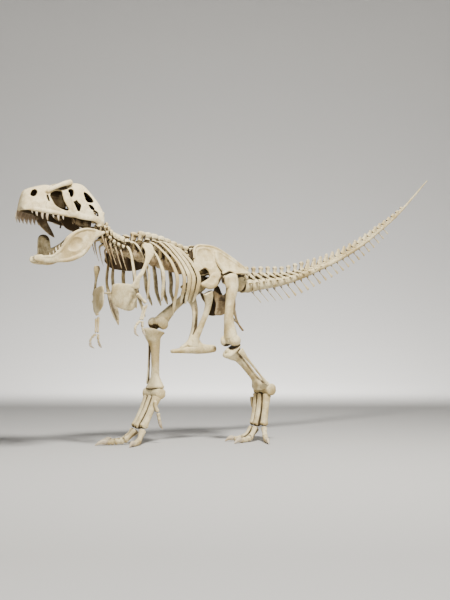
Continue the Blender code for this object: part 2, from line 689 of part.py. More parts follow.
def build_mandible():
    place = head_place(JAW_PITCH)
    _, over = head_frame(JAW_PITCH)
    shells = []
    for name, side in SIDES.items():
        stations = [(ahead, *ramus_at(ahead, name)) for ahead, *_ in RAMUS_STATIONS]
        middles = [((ahead, (low + high) / 2), side * gap) for ahead, gap, low, high, _ in stations]
        centres = np.array([place(middle, lateral) for middle, lateral in middles])
        heights = np.array([over * (high - low) / 2 for _, _, low, high, _ in stations])
        run = np.gradient(centres, axis=0)
        run /= np.linalg.norm(run, axis=1, keepdims=True)
        out = np.cross(run, over)
        out /= np.linalg.norm(out, axis=1, keepdims=True)
        thick = out * np.array([row[4] for row in stations])[:, None]
        shells.append(tube(centres, heights * 1.08, thick * 1.15, 6))
        for ahead, length, broad in LOWER_TEETH[name]:
            gap, low, edge, _ = ramus_at(ahead, name)
            root = place((ahead, edge - 0.035), side * gap)
            shells.append(tooth(root, place((ahead - 0.02, edge + length), side * gap), broad))
    chin = ((1.14, 0.05), (1.03, 0.045))
    centres = [place((ahead, -0.07), 0.0) for ahead, _ in chin]
    shells.append(plate(centres, [ACROSS * 0.08, ACROSS * 0.16], [over * high for _, high in chin]))
    bone("mandible", shells)


# ---------------------------------------------------------------- girdles

ILIUM_OUTLINE = (
    (-0.60, 3.40), (-0.56, 3.58), (-0.50, 3.67), (-0.38, 3.722), (-0.12, 3.71), (0.02, 3.68), (0.20, 3.59),
    (0.57, 3.38),
    (0.70, 3.28), (0.70, 3.20), (0.42, 3.195), (0.36, 3.04), (0.27, 3.01), (0.22, 3.14), (0.10, 3.20),
    (0.00, 3.13),
    (-0.09, 2.98), (-0.18, 2.91), (-0.33, 2.875), (-0.49, 2.93), (-0.42, 3.02), (-0.28, 3.09), (-0.27, 3.19),
    (-0.34, 3.26), (-0.44, 3.25), (-0.54, 3.17), (-0.60, 3.24),
)
PUBIC_LOBE = (
    (-0.49, 2.94), (-0.42, 2.90), (-0.30, 2.87), (-0.18, 2.91), (-0.08, 2.99), (0.01, 3.12), (-0.06, 3.22),
    (-0.20, 3.19),
    (-0.27, 3.07), (-0.42, 3.00),
)
ISCHIUM_PLATE = (
    (-0.13, 2.86), (0.02, 2.79), (0.14, 2.80), (0.27, 2.98), (0.37, 2.98), (0.42, 2.74), (0.47, 2.52),
    (0.40, 2.43),
    (0.30, 2.47), (0.24, 2.54), (0.20, 2.42), (0.08, 2.39), (-0.02, 2.42), (-0.03, 2.60), (-0.10, 2.72),
)


def hip_plane(side, low=0.33, high=0.13):
    """The leaning plane of an ilium: low and high are the lateral distances at its foot and crest."""

    def place(point, shift):
        x, z = point
        lateral = low + (high - low) * (z - 2.9) / 0.82
        return np.array((x, side * lateral + shift, z))

    return place


def build_pelvis():
    for name, side in SIDES.items():
        place = hip_plane(side)
        shells = [slab(ILIUM_OUTLINE, place, 0.045)]
        shells.append(slab(PUBIC_LOBE, place, 0.13))
        rim = (
            (0.01, 0.315, 3.18, 0.045, 0.03), (0.14, 0.315, 3.25, 0.05, 0.032),
            (0.29, 0.305, 3.19, 0.045, 0.032),
            (0.35, 0.295, 3.08, 0.038, 0.045),
        )
        rows = [(x, side * y, z, wide, deep) for x, y, z, wide, deep in rim]
        shells.append(limb(rows, ACROSS, 6))
        bone("ilium_" + name, shells)
    shells = []
    for side in SIDES.values():
        rows = (
            (-0.33, side * 0.31, 2.82, 0.05, 0.12), (-0.28, side * 0.27, 2.70, 0.045, 0.095),
            (-0.26, side * 0.20, 2.50, 0.042, 0.068),
            (-0.33, side * 0.11, 2.20, 0.040, 0.062), (-0.43, side * 0.045, 1.93, 0.048, 0.088),
            (-0.45, side * 0.03, 1.78, 0.045, 0.17),
        )
        shells.append(limb(rows, ACROSS, 8))
    boot = (
        (-0.95, 1.705, 0.045, 0.034), (-0.80, 1.715, 0.065, 0.048), (-0.55, 1.735, 0.075, 0.075),
        (-0.38, 1.765, 0.078, 0.118),
        (-0.15, 1.755, 0.072, 0.092), (0.02, 1.76, 0.067, 0.075), (0.09, 1.765, 0.05, 0.058),
    )
    rows = [(x, 0.0, z, wide, high) for x, z, wide, high in boot]
    shells.append(limb(rows, ACROSS, 8))
    bone("pubes", shells)
    shells = []
    for side in SIDES.values():

        def leaning(point, shift, s=side):
            return np.array((point[0], s * (0.10 + 0.26 * (point[1] - 2.38)) + shift, point[1]))

        shells.append(slab(ISCHIUM_PLATE, leaning, 0.035))
        rows = (
            (0.33, side * 0.22, 2.86, 0.035, 0.07), (0.40, side * 0.14, 2.60, 0.030, 0.052),
            (0.50, side * 0.085, 2.42, 0.024, 0.034),
            (0.62, side * 0.018, 2.28, 0.024, 0.020), (0.77, side * 0.014, 2.11, 0.024, 0.020),
        )
        shells.append(limb(rows, ACROSS, 6))
    bone("ischia", shells)


# Distance in from the shoulder joint and height; the plate also runs forward as it goes in.
CORACOID_OUTLINE = (
    (-0.035, 0.06), (0.02, 0.155), (0.18, 0.185), (0.42, 0.20), (0.56, 0.17), (0.585, 0.02), (0.57, -0.10),
    (0.50, -0.19), (0.27, -0.28), (0.10, -0.27), (0.03, -0.15), (0.01, -0.01),
)
CORACOID_FORWARD = 0.25
CORACOID_INWARD = 0.90
SHOULDER_HALF = 0.555
BLADE_HALF = 0.58
# The shoulder blade from its top down: x from the joint, half width of the body, height, half depth.
BLADE = (
    (0.26, 0.43, 0.91, 0.090), (0.27, 0.50, 0.78, 0.110), (0.16, 0.60, 0.59, 0.052),
    (0.03, 0.64, 0.38, 0.040),
    (-0.05, 0.62, 0.22, 0.055), (-0.06, 0.58, 0.07, 0.09),
)


def build_shoulders():
    for name, side in SIDES.items():
        shoulder = SHOULDERS[name]
        reach, breadth, lean, behind, spread = BLADE_SET[name]
        rows = []
        for x, y, z, deep in BLADE:
            lateral = BLADE_HALF + (y - BLADE_HALF) * spread
            place = (shoulder[0] + x * lean + behind, side * lateral, shoulder[1] + z * reach)
            rows.append((*place, 0.020, deep * breadth))
        shells = [limb(rows, ACROSS, 6)]

        def place(point, shift, s=side, centre=shoulder):
            lateral = SHOULDER_HALF - CORACOID_INWARD * point[0]
            x = centre[0] - CORACOID_FORWARD * point[0] + shift
            return np.array((x, s * lateral, centre[1] + point[1]))

        shells.append(slab(CORACOID_OUTLINE, place, 0.045))
        bone("scapula_" + name, shells)
    furcula = (
        (-2.27, -0.09, 2.72, 0.016, 0.018), (-2.285, 0.0, 2.71, 0.018, 0.02),
        (-2.27, 0.09, 2.72, 0.016, 0.018),
    )
    bone("furcula", [limb(furcula, UP, 6)])


# ---------------------------------------------------------------- limbs


HUMERUS = (
    (0, 0, 0, 0.042, 0.038), (0.25, 0, 0, 0.034, 0.030), (0.6, 0, 0, 0.025, 0.023), (1, 0, 0, 0.040, 0.032),
)
FOREARM = (
    (0, 0, 0, 0.023, 0.019), (0.3, 0, 0, 0.017, 0.016), (0.7, 0, 0, 0.016, 0.016), (1, 0, 0, 0.022, 0.018),
)
# Each finger as (forward or back, height) from the wrist and half thickness, down to the point of its claw.
FINGERS = (
    (
        (-0.022, -0.012, 0.020), (-0.055, -0.035, 0.018), (-0.095, -0.075, 0.023), (-0.118, -0.115, 0.018),
        (-0.122, -0.155, 0.022), (-0.110, -0.215, 0.019), (-0.035, -0.265, 0.004),
    ),
    (
        (0.034, -0.012, 0.020), (0.030, -0.05, 0.018), (0.032, -0.105, 0.023), (0.038, -0.135, 0.018),
        (0.046, -0.165, 0.021), (0.072, -0.215, 0.017), (0.100, -0.255, 0.004),
    ),
)


def build_arms():
    for name in SIDES:
        shoulder, elbow, wrist = (np.array(joint) for joint in ARM_JOINTS[name])
        upper = unit(elbow - shoulder)
        rows = between(shoulder + upper * 0.075, elbow - upper * 0.012, HUMERUS)
        bone("humerus_" + name, [limb(rows, ACROSS, 8)])
        fore = unit(wrist - elbow)
        apart = ALONG * 0.024
        start, end = elbow + fore * 0.045, wrist - fore * 0.02
        bone("ulna_" + name, [limb(between(start - fore * 0.012 + apart, end + apart, FOREARM), ACROSS, 6)])
        bone("radius_" + name, [limb(between(start - apart, end - apart, FOREARM), ACROSS, 6)])
        for number, path in enumerate(FINGERS, 1):
            rows = [(*(wrist + np.array((x, 0.0, z))), size, size * 1.05) for x, z, size in path]
            bone(f"finger_{number}_{name}", [limb(rows, ACROSS, 6)])


FEMUR_SHAFT = (
    (0.00, 0.03, 0.0, 0.070, 0.085), (0.05, 0.03, 0.0, 0.092, 0.115), (0.18, 0.035, 0.0, 0.094, 0.128),
    (0.30, 0.005, 0.0, 0.090, 0.113),
    (0.46, -0.03, 0.0, 0.083, 0.086), (0.66, -0.05, 0.0, 0.091, 0.090), (0.82, -0.02, 0.0, 0.122, 0.110),
    (0.95, 0.0, 0.0, 0.150, 0.118),
)
TIBIA_SHAFT = (
    (0.00, -0.03, 0.0, 0.165, 0.200), (0.04, -0.04, 0.0, 0.170, 0.210), (0.14, -0.035, 0.0, 0.120, 0.150),
    (0.28, -0.01, 0.0, 0.083, 0.092),
    (0.55, 0.0, 0.0, 0.073, 0.072), (0.78, 0.0, 0.0, 0.085, 0.072), (0.91, 0.0, 0.0, 0.180, 0.095),
    (1.00, 0.0, 0.0, 0.200, 0.095),
)
METATARSAL = (
    (0.0, 0, 0, 0.056, 0.088), (0.12, 0, 0, 0.055, 0.074), (0.45, 0, 0, 0.058, 0.054),
    (0.8, 0, 0, 0.059, 0.058),
    (0.93, 0, 0, 0.066, 0.076), (1.0, 0, 0, 0.056, 0.064),
)
FIBULA = (
    (0.0, 0, 0, 0.024, 0.070), (0.08, 0, 0, 0.024, 0.062), (0.25, 0, 0, 0.022, 0.032),
    (0.7, 0, 0, 0.020, 0.024),
    (1.0, 0, 0, 0.028, 0.036),
)
ROLLER = (
    (-0.215, 0.070), (-0.185, 0.105), (-0.05, 0.105), (0.0, 0.092), (0.06, 0.102), (0.16, 0.112),
    (0.24, 0.112), (0.27, 0.07),
)
ROLLER_DROP = 0.020
BALL_OF_FOOT = {"ii": (0.03, -0.14, 0.01), "iii": (0.0, 0.0, 0.0), "iv": (0.05, 0.155, 0.01)}
# How far the lower end of each femur stands behind the middle of its knee.
FEMUR_END = {"left": 0.0, "right": -0.045}


def build_legs():
    for name, side in SIDES.items():
        hip, knee, ankle, foot = (np.array(joint) for joint in LEG_JOINTS[name])
        thigh = unit(knee - hip)
        shank = unit(ankle - knee)
        outer = ACROSS * side
        top = hip + outer * 0.16 - thigh * 0.11
        low = knee - thigh * 0.075 + ALONG * FEMUR_END[name]
        inner, socket = hip - outer * 0.06, hip + outer * 0.15
        head = [(*inner, 0.07, 0.07), (*hip, 0.098, 0.098), (*socket, 0.085, 0.10)]
        shells = [limb(between(top, low, FEMUR_SHAFT), ACROSS, 8), limb(head, ALONG, 8)]
        for lateral in (-0.100, 0.100):
            centre = low - thigh * 0.053 + ACROSS * lateral - ALONG * lateral * 0.30
            rows = []
            for shift, size in ((-0.07, 0.084), (0.0, 0.109), (0.07, 0.084)):
                rows.append((*(centre + ACROSS * shift), size, size * 1.14))
            shells.append(limb(rows, thigh, 8))
        bone("femur_" + name, shells)

        rows = between(knee + shank * 0.045, ankle + shank * (ROLLER_DROP - 0.122), TIBIA_SHAFT)
        bone("tibia_" + name, [limb(rows, ACROSS, 8)])
        start = knee + shank * 0.08 + outer * 0.200 + ALONG * 0.01
        fibula = between(start, ankle - shank * 0.115 + outer * 0.245, FIBULA)
        bone("fibula_" + name, [limb(fibula, ACROSS, 6)])
        rows = [(*(ankle + shank * ROLLER_DROP + outer * shift), size, size) for shift, size in ROLLER]
        bone("ankle_" + name, [limb(rows, ALONG, 8)])

        for number, (toe, (back, out, rise)) in enumerate(BALL_OF_FOOT.items()):
            end = foot + np.array((back, side * out, rise))
            start = ankle + outer * (number - 1) * 0.122 + unit(end - ankle) * 0.145
            bone(f"metatarsal_{toe}_{name}", [limb(between(start, end, METATARSAL), ACROSS, 8)])
            heading = TOE_HEADINGS[name][number]
            build_toe(f"toe_{toe}_{name}", end, side, heading, TOE_REACH[number], number == 1)
        build_hallux(name, side, ankle, foot)


def on_floor(shell):
    """Presses what reaches under the floor up to it, which leaves small flats to stand on."""
    points, faces = shell
    points = points.copy()
    points[:, 2] = np.maximum(points[:, 2], 0.0)
    return points, faces


def build_toe(name, knuckle, side, heading, reach, middle):
    """A toe: beads at its joints, resting on the floor, and a hooked claw."""
    angle = math.radians(heading)
    ahead = np.array((-math.cos(angle), side * math.sin(angle), 0.0))
    high = knuckle[2]
    size = 1.0 if middle else 0.93
    stations = (
        (0.03, high - 0.085, 0.066, 0.072), (0.12, high * 0.56, 0.060, 0.068), (0.26, 0.078, 0.070, 0.092),
        (0.37, 0.056, 0.052, 0.060),
        (0.48, 0.058, 0.060, 0.070), (0.59, 0.044, 0.046, 0.048), (0.69, 0.050, 0.052, 0.060),
        (0.82, 0.054, 0.036, 0.046), (0.93, 0.034, 0.020, 0.030),
        (1.0, 0.008, 0.007, 0.010),
    )
    flat = np.array((knuckle[0], knuckle[1], 0.0))
    across = np.cross(UP, ahead)
    rows = []
    for share, height, wide, deep in stations:
        rows.append((*(flat + ahead * reach * share + UP * height), wide * size, deep * size))
    bone(name, [on_floor(limb(rows, across, 8))])


def build_hallux(name, side, ankle, foot):
    """The first toe: it hangs behind the inner side of the metatarsus, its claw turned back."""
    start = ankle * 0.70 + foot * 0.30 - ACROSS * side * 0.24 - ALONG * 0.045
    line = (
        (0.0, 0.0, 0.05, 0.042), (0.015, 0.01, -0.06, 0.031), (0.06, 0.02, -0.175, 0.042),
        (0.08, 0.02, -0.26, 0.028),
        (0.095, 0.02, -0.33, 0.036), (0.115, 0.018, -0.40, 0.029), (0.145, 0.01, -0.455, 0.018),
        (0.19, 0.0, -0.49, 0.004),
    )
    rows = [(*(start + np.array((x, -y * side, z))), size, size) for x, y, z, size in line]
    bone("toe_i_" + name, [limb(rows, ACROSS, 6)])


for old in list(bpy.data.objects):
    bpy.data.objects.remove(old)
mount = bpy.data.objects.new("mount", None)
bpy.context.scene.collection.objects.link(mount)
mount.location = MOUNT_SHIFT

build_cranium()
build_mandible()
build_neck()
build_trunk()
build_sacrum()
build_tail()
build_pelvis()
build_shoulders()
build_arms()
build_legs()
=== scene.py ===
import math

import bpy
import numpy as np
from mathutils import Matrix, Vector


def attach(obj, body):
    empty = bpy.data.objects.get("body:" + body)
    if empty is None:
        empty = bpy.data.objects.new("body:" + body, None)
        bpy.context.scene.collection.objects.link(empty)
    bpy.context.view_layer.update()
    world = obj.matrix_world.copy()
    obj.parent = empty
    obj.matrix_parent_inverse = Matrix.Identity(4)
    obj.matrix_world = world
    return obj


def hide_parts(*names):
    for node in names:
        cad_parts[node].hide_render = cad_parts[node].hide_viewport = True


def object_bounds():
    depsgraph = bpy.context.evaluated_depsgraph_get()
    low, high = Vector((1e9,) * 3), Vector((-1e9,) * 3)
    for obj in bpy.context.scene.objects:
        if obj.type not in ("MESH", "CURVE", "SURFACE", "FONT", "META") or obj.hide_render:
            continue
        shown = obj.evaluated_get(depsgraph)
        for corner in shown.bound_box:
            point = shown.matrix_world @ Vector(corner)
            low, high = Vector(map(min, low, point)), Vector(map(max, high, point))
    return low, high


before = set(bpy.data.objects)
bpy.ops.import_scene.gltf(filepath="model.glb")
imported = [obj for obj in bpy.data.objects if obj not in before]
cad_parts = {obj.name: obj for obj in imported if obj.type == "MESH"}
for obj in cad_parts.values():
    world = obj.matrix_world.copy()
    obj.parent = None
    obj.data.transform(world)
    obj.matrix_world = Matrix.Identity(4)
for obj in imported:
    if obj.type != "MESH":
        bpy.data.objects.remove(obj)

# Mounted skeleton of an adult Tyrannosaurus rex at life size, striding with its mouth open.
# The animal faces -X and its left side is -Y.  Places are in metres from the point on the floor
# midway between the hip sockets; settle() carries every finished piece into the frame.
#
# Every bone is made of closed shells worked out on a grid of two parameters: sweep() is a section
# carried along a path and pillow() is a domed plate over an outline.  grow() joins the shells of
# one bone, rounds their meetings and gives the surface its slight unevenness.

CAD_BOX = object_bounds()
MOUNT_SHIFT = np.array((-1.18, 0.03, 0.0))
SIDES = {"left": -1.0, "right": 1.0}
ALONG = np.array((1.0, 0.0, 0.0))
ACROSS = np.array((0.0, 1.0, 0.0))
UP = np.array((0.0, 0.0, 1.0))

# ---------------------------------------------------------------- driving sizes

JAW_JOINT = np.array((-2.69, 0.0, 3.745))
HEAD_LENGTH = 0.95
HEAD_SCALE = 0.975
SKULL_PITCH = math.radians(11.0)
JAW_PITCH = math.radians(-26.0)

# The backbone as (x, z, radius of the vertebral bodies).
NECK_LINE = ((-2.46, 3.90, 0.080), (-2.43, 3.78, 0.095), (-2.36, 3.67, 0.110), (-2.23, 3.575, 0.120), (-2.05, 3.52, 0.120))
BACK_LINE = ((-2.05, 3.52, 0.118), (-1.60, 3.41, 0.11), (-1.20, 3.33, 0.115), (-0.80, 3.26, 0.12), (-0.47, 3.21, 0.125))
SACRUM_LINE = ((-0.47, 3.21, 0.125), (-0.20, 3.27, 0.11), (0.10, 3.29, 0.10), (0.38, 3.17, 0.125), (0.58, 3.045, 0.145), (0.72, 3.00, 0.155))
TAIL_LINE = (
    (0.72, 3.00, 0.155), (0.95, 3.02, 0.135), (1.34, 3.085, 0.118), (1.76, 3.145, 0.097), (2.32, 3.293, 0.075), (2.91, 3.507, 0.060),
    (3.51, 3.75, 0.050), (4.15, 4.077, 0.044), (4.80, 4.49, 0.040), (5.49, 4.975, 0.030), (6.46, 5.81, 0.014),
)
NECK_COUNT = 6
BACK_COUNT = 11
SACRUM_COUNT = 5
TAIL_COUNT = 34
TAIL_STARTS = (0, 8, 16, 25, TAIL_COUNT)
SPINED_TAIL = 28
CHEVRON_TAIL = 24
BLADED_FROM = 9

LEG_JOINTS = {
    "left": ((0.10, -0.31, 3.07), (0.11, -0.45, 1.79), (0.93, -0.40, 1.00), (0.74, -0.44, 0.29)),
    "right": ((0.10, 0.31, 3.07), (-0.91, 0.55, 2.16), (-0.95, 0.50, 0.95), (-1.33, 0.49, 0.29)),
}
TOE_HEADINGS = {"left": (-13.0, 15.0, 58.0), "right": (-33.0, 20.0, 50.0)}
TOE_REACH = (0.60, 0.72, 0.60)
ARM_JOINTS = {
    "left": ((-2.155, -0.60, 2.70), (-1.99, -0.66, 2.517), (-2.064, -0.62, 2.217)),
    "right": ((-2.112, 0.65, 2.65), (-2.048, 0.63, 2.343), (-2.077, 0.60, 2.017)),
}
SHOULDERS = {"left": (-2.08, 2.68), "right": (-2.185, 2.65)}

# The front of the body swings a little to its left: place along X and heading in degrees.
SWING = ((-0.60, 0.0), (-2.20, 8.0), (-2.80, 2.5), (-4.60, 2.5))
SWING_GAIN = 0.78
SWING_GRID = np.linspace(SWING[0][0], SWING[-1][0], 200)
SWING_HEADING = np.radians(np.interp(-SWING_GRID, [-x for x, _ in SWING], [turn for _, turn in SWING]))
SWING_ASIDE = np.concatenate(((0.0,), np.cumsum(np.tan(SWING_HEADING[1:]) * np.diff(SWING_GRID))))


def settle(points):
    """Bends what lies ahead of the first SWING place sideways by the summed tangent of the heading,
    each cross section staying flat, then moves everything by MOUNT_SHIFT."""
    points = np.array(points, float)
    ahead = -points[:, 0]
    heading = np.interp(ahead, -SWING_GRID, SWING_HEADING)
    aside = np.interp(ahead, -SWING_GRID, SWING_ASIDE)
    across = points[:, 1].copy()
    points[:, 0] += aside * SWING_GAIN - across * np.sin(heading)
    points[:, 1] = aside + across * np.cos(heading)
    return points + MOUNT_SHIFT


# ---------------------------------------------------------------- shells


def unit(vectors):
    vectors = np.asarray(vectors, float)
    return vectors / np.linalg.norm(vectors, axis=-1, keepdims=True)


def curve(rows, where, closed=False):
    """Catmull-Rom curve through the rows, read at shares of its length: each stretch is the cubic that
    passes its two rows with slopes of half the chord between their neighbours."""
    rows = np.asarray(rows, float)
    if closed:
        padded = np.vstack((rows[-1:], rows, rows[:2]))
    else:
        padded = np.vstack((2 * rows[0] - rows[1], rows, 2 * rows[-1] - rows[-2]))
    steps = np.linspace(0.0, len(padded) - 3.0, 24 * len(rows))
    index = np.minimum(steps.astype(int), len(padded) - 4)
    t = (steps - index)[:, None]
    a, b, c, d = (padded[index + k] for k in range(4))
    fine = 0.5 * (2 * b + (c - a) * t + (2 * a - 5 * b + 4 * c - d) * t**2 + (3 * b - a - 3 * c + d) * t**3)
    place = fine[:, : min(3, fine.shape[1])]
    travelled = np.concatenate(((0.0,), np.cumsum(np.linalg.norm(np.diff(place, axis=0), axis=1))))
    return np.column_stack([np.interp(np.asarray(where) * travelled[-1], travelled, column) for column in fine.T])


def shell(rings):
    """Closed shell over rings of points, each end ring drawn together to its middle: the triangles of a
    grid that closes on itself round the rings, with a fan on each end, turned to face outwards."""
    count, around = rings.shape[:2]
    index = np.arange(count * around).reshape(count, around)
    here, beside = index[:-1], np.roll(index[:-1], -1, 1)
    below, across = index[1:], np.roll(index[1:], -1, 1)
    first = np.full(around, count * around)
    faces = np.vstack((
        np.stack((here, beside, across), -1).reshape(-1, 3),
        np.stack((here, across, below), -1).reshape(-1, 3),
        np.stack((first, np.roll(index[0], -1), index[0]), -1),
        np.stack((first + 1, index[-1], np.roll(index[-1], -1)), -1),
    ))
    points = np.vstack((rings.reshape(-1, 3), rings[0].mean(0), rings[-1].mean(0)))
    corner = points[faces] - points.mean(0)
    volume = np.einsum("ij,ij->", corner[:, 0], np.cross(corner[:, 1], corner[:, 2]))
    return points, faces if volume > 0 else faces[:, ::-1]


def section(around, square):
    """Unit section: the superellipse whose power is square, so 2 is round and 4 nearly a rounded box."""
    angle = np.arange(around) * 2 * np.pi / around
    cosine, sine = np.cos(angle), np.sin(angle)
    power = 2.0 / square
    return np.sign(cosine) * np.abs(cosine) ** power, np.sign(sine) * np.abs(sine) ** power


def sweep(rows, across, around=16, steps=24, square=2.0, ends=(1.0, 1.0)):
    """A section carried along the smooth path of rows (x, y, z, half width along across, half depth).
    Each end is rounded over its own half size times ends, as the quarter of an ellipse."""
    rows = np.asarray(rows, float)
    length = np.linalg.norm(np.diff(rows[:, :3], axis=0), axis=1).sum()
    shares = [min(0.45, end * row[3:5].mean() / length) for end, row in zip(ends, (rows[0], rows[-1]))]
    quarter = 1 - np.cos(np.linspace(0.15, np.pi / 2, 6))
    where = np.concatenate((
        shares[0] * quarter[:-1],
        np.linspace(shares[0], 1 - shares[1], steps),
        1 - shares[1] * quarter[:-1][::-1],
    ))
    fine = curve(rows, where)
    run = unit(np.gradient(curve(rows, np.linspace(0, 1, 60))[:, :3], axis=0))
    run = unit(np.column_stack([np.interp(where, np.linspace(0, 1, 60), column) for column in run.T]))
    side = unit(np.asarray(across, float) - run * (run @ np.asarray(across, float))[:, None])
    other = np.cross(run, side)
    near = np.clip(where / max(shares[0], 1e-6), 0, 1)
    far = np.clip((1 - where) / max(shares[1], 1e-6), 0, 1)
    size = np.sqrt(1 - (1 - near) ** 2) * np.sqrt(1 - (1 - far) ** 2)
    wide, deep = section(around, square)
    rings = (
        fine[:, None, :3]
        + side[:, None] * (fine[:, 3] * size)[:, None, None] * wide[None, :, None]
        + other[:, None] * (fine[:, 4] * size)[:, None, None] * deep[None, :, None]
    )
    return shell(rings)


def pillow(outline, place, thick, around=72, power=3.0):
    """A plate over a closed outline: rings shrink from the rim to the middle while the half thickness
    rises as (1 - share**power)**(1/power), on the one face and then on the other."""
    rim = curve(outline, np.linspace(0, 1, around, endpoint=False), closed=True)
    middle = rim.mean(0)
    share = np.sin(np.linspace(0.06, np.pi / 2, 8))
    rise = (1 - share**power) ** (1 / power)
    share = np.concatenate((share, share[:-1][::-1]))
    rise = np.concatenate((rise, -rise[:-1][::-1])) * thick
    flat = middle + (rim - middle)[None] * share[:, None, None]
    return shell(place(flat.reshape(-1, 2), np.repeat(rise, around)).reshape(len(share), around, 3))


def ball(centre, radii):
    return sweep([(*(np.array(centre) + UP * radii[2] * t), radii[0], radii[1]) for t in (-1, -0.3, 0.3, 1)], ALONG, 16, 12)


def gather(shells):
    """Several shells as one list of points and one of triangles."""
    starts = np.cumsum([0] + [len(points) for points, _ in shells[:-1]])
    return np.vstack([s[0] for s in shells]), np.vstack([s[1] + start for s, start in zip(shells, starts)])


# ---------------------------------------------------------------- from shells to bones


def lattice_noise(points, cell, seed):
    """Smooth noise from -1 to 1: random values on a cubic lattice of that cell, blended between the
    eight corners round each point with the curve 3t^2 - 2t^3."""
    values = np.random.default_rng(seed).uniform(-1, 1, (32, 32, 32))
    scaled = points / cell
    base = np.floor(scaled).astype(int)
    t = scaled - base
    t = t * t * (3 - 2 * t)
    total = np.zeros(len(points))
    for corner in np.ndindex(2, 2, 2):
        weight = np.prod(np.where(corner, t, 1 - t), axis=1)
        total += weight * values[tuple(((base + corner) % 32).T)]
    return total


def new_mesh(name, points, faces):
    mesh = bpy.data.meshes.new(name)
    count, corners = faces.shape
    mesh.vertices.add(len(points))
    mesh.vertices.foreach_set("co", np.ascontiguousarray(points, np.float32).ravel())
    mesh.loops.add(count * corners)
    mesh.loops.foreach_set("vertex_index", np.ascontiguousarray(faces, np.int32).ravel())
    mesh.polygons.add(count)
    mesh.polygons.foreach_set("loop_start", np.arange(0, count * corners, corners, dtype=np.int32))
    mesh.update(calc_edges=True)
    mesh.validate()
    return mesh


def thing_of(name, shells):
    thing = bpy.data.objects.new(name, new_mesh(name, *gather(shells)))
    bpy.context.scene.collection.objects.link(thing)
    return thing


def applied(thing):
    """Swaps the object's mesh for what its modifiers make of it."""
    mesh = bpy.data.meshes.new_from_object(thing.evaluated_get(bpy.context.evaluated_depsgraph_get()))
    thing.modifiers.clear()
    thing.data = mesh
    return thing


def joined(thing, grain):
    """The union of overlapping shells, as one skin of squares of that grain."""
    step = thing.modifiers.new("join", "REMESH")
    step.mode = "VOXEL"
    step.voxel_size = grain
    return applied(thing)


def less(thing, cutters):
    """Takes closed shells away from a skin."""
    for number, cutter in enumerate(cutters):
        tool = thing_of(f"cutter_{number}", [cutter])
        step = thing.modifiers.new("cut", "BOOLEAN")
        step.operation = "DIFFERENCE"
        step.solver = "MANIFOLD"
        step.object = tool
        applied(thing)
        bpy.data.objects.remove(tool)
    return thing


GRAIN_STEP = 1.0
pieces = []


def grow(name, shells, nodes, slot="bone", grain=0.007, rounding=3, rough=1.0, cuts=(), inner=(), inner_shade=0.0):
    """One bone: shells joined, less the cuts, with the inner shells added, rounded off and made
    slightly uneven by noise along its normals.  The last argument sets how dark painted shade makes its inner faces."""
    grain *= GRAIN_STEP
    thing = thing_of(name, shells)
    if cuts:
        thing = less(joined(thing, grain), cuts)
    if inner:
        more = thing_of("inner", inner)
        with bpy.context.temp_override(active_object=thing, selected_editable_objects=[thing, more]):
            bpy.ops.object.join()
    joined(thing, grain)
    step = thing.modifiers.new("round", "SMOOTH")
    step.factor = 0.5
    step.iterations = rounding
    applied(thing)
    return keep(thing, nodes, slot, rough, inner_shade)


def uneven(points):
    """Height of the bone's slight unevenness, in metres."""
    return 0.0022 * lattice_noise(points, 0.13, 3) + 0.0011 * lattice_noise(points, 0.045, 4)


def vertex_data(mesh):
    points = np.empty(len(mesh.vertices) * 3, np.float32)
    normals = np.empty_like(points)
    mesh.vertices.foreach_get("co", points)
    mesh.vertex_normals.foreach_get("vector", normals)
    return points.reshape(-1, 3).astype(float), normals.reshape(-1, 3).astype(float)


def keep(thing, nodes, slot, rough, inner_shade):
    """Makes a skin uneven along its normals, marks as painted shade how far each place faces the middle plane,
    carries it into the frame, and lets it ride on the skeleton and stand for its CAD nodes."""
    mesh = thing.data
    points, normals = vertex_data(mesh)
    # Painted shade on faces that turn towards the middle plane, as the inner sides of ribs and jaws lie in shadow.
    inner_face_shade = np.clip(-normals[:, 1] * np.sign(points[:, 1]), 0, 1) * (np.abs(points[:, 1]) > 0.06)
    mark = mesh.attributes.new("inner_face_shade", "FLOAT", "POINT")
    mark.data.foreach_set("value", (inner_face_shade * inner_shade).astype(np.float32))
    points += normals * (uneven(points) * rough)[:, None]
    mesh.vertices.foreach_set("co", settle(points).astype(np.float32).ravel())
    mesh.update()
    mesh.shade_smooth()
    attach(thing, "root")
    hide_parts(*nodes)
    thing["finish"] = slot
    pieces.append(thing)
    return thing


def cast(name, shells, nodes, slot, inner_shade=0.0):
    """A small piece kept as its own shells, such as a row of teeth."""
    return keep(thing_of(name, shells), nodes, slot, 0.0, inner_shade)


# ---------------------------------------------------------------- backbone

NECK_SPINES = ((-2.46, 0.13), (-2.3, 0.155), (-2.05, 0.20))
BACK_SPINES = (
    (-2.05, 0.21), (-1.90, 0.35), (-1.70, 0.45), (-1.45, 0.49), (-1.25, 0.49), (-1.0, 0.47), (-0.75, 0.45), (-0.47, 0.44),
)
SACRUM_SPINES = ((-0.47, 0.42), (-0.2, 0.36), (0.12, 0.27), (0.45, 0.30), (0.72, 0.36))
TAIL_SPINES = (
    (0.72, 0.39), (0.9, 0.39), (1.3, 0.355), (1.8, 0.31), (2.3, 0.305), (2.86, 0.245),
    (3.45, 0.235), (4.05, 0.22), (4.6, 0.195), (5.15, 0.13), (5.6, 0.07),
)
CHEVRONS = ((0.85, 0.34), (1.3, 0.345), (1.8, 0.33), (2.5, 0.27), (3.5, 0.21), (4.1, 0.185), (4.7, 0.16), (5.2, 0.125))
CHEVRON_LEAN = ((0.8, 0.66), (2.5, 0.80), (3.5, 0.95), (5.2, 1.05))


def read(table, x):
    return float(np.interp(x, [row[0] for row in table], [row[1] for row in table]))


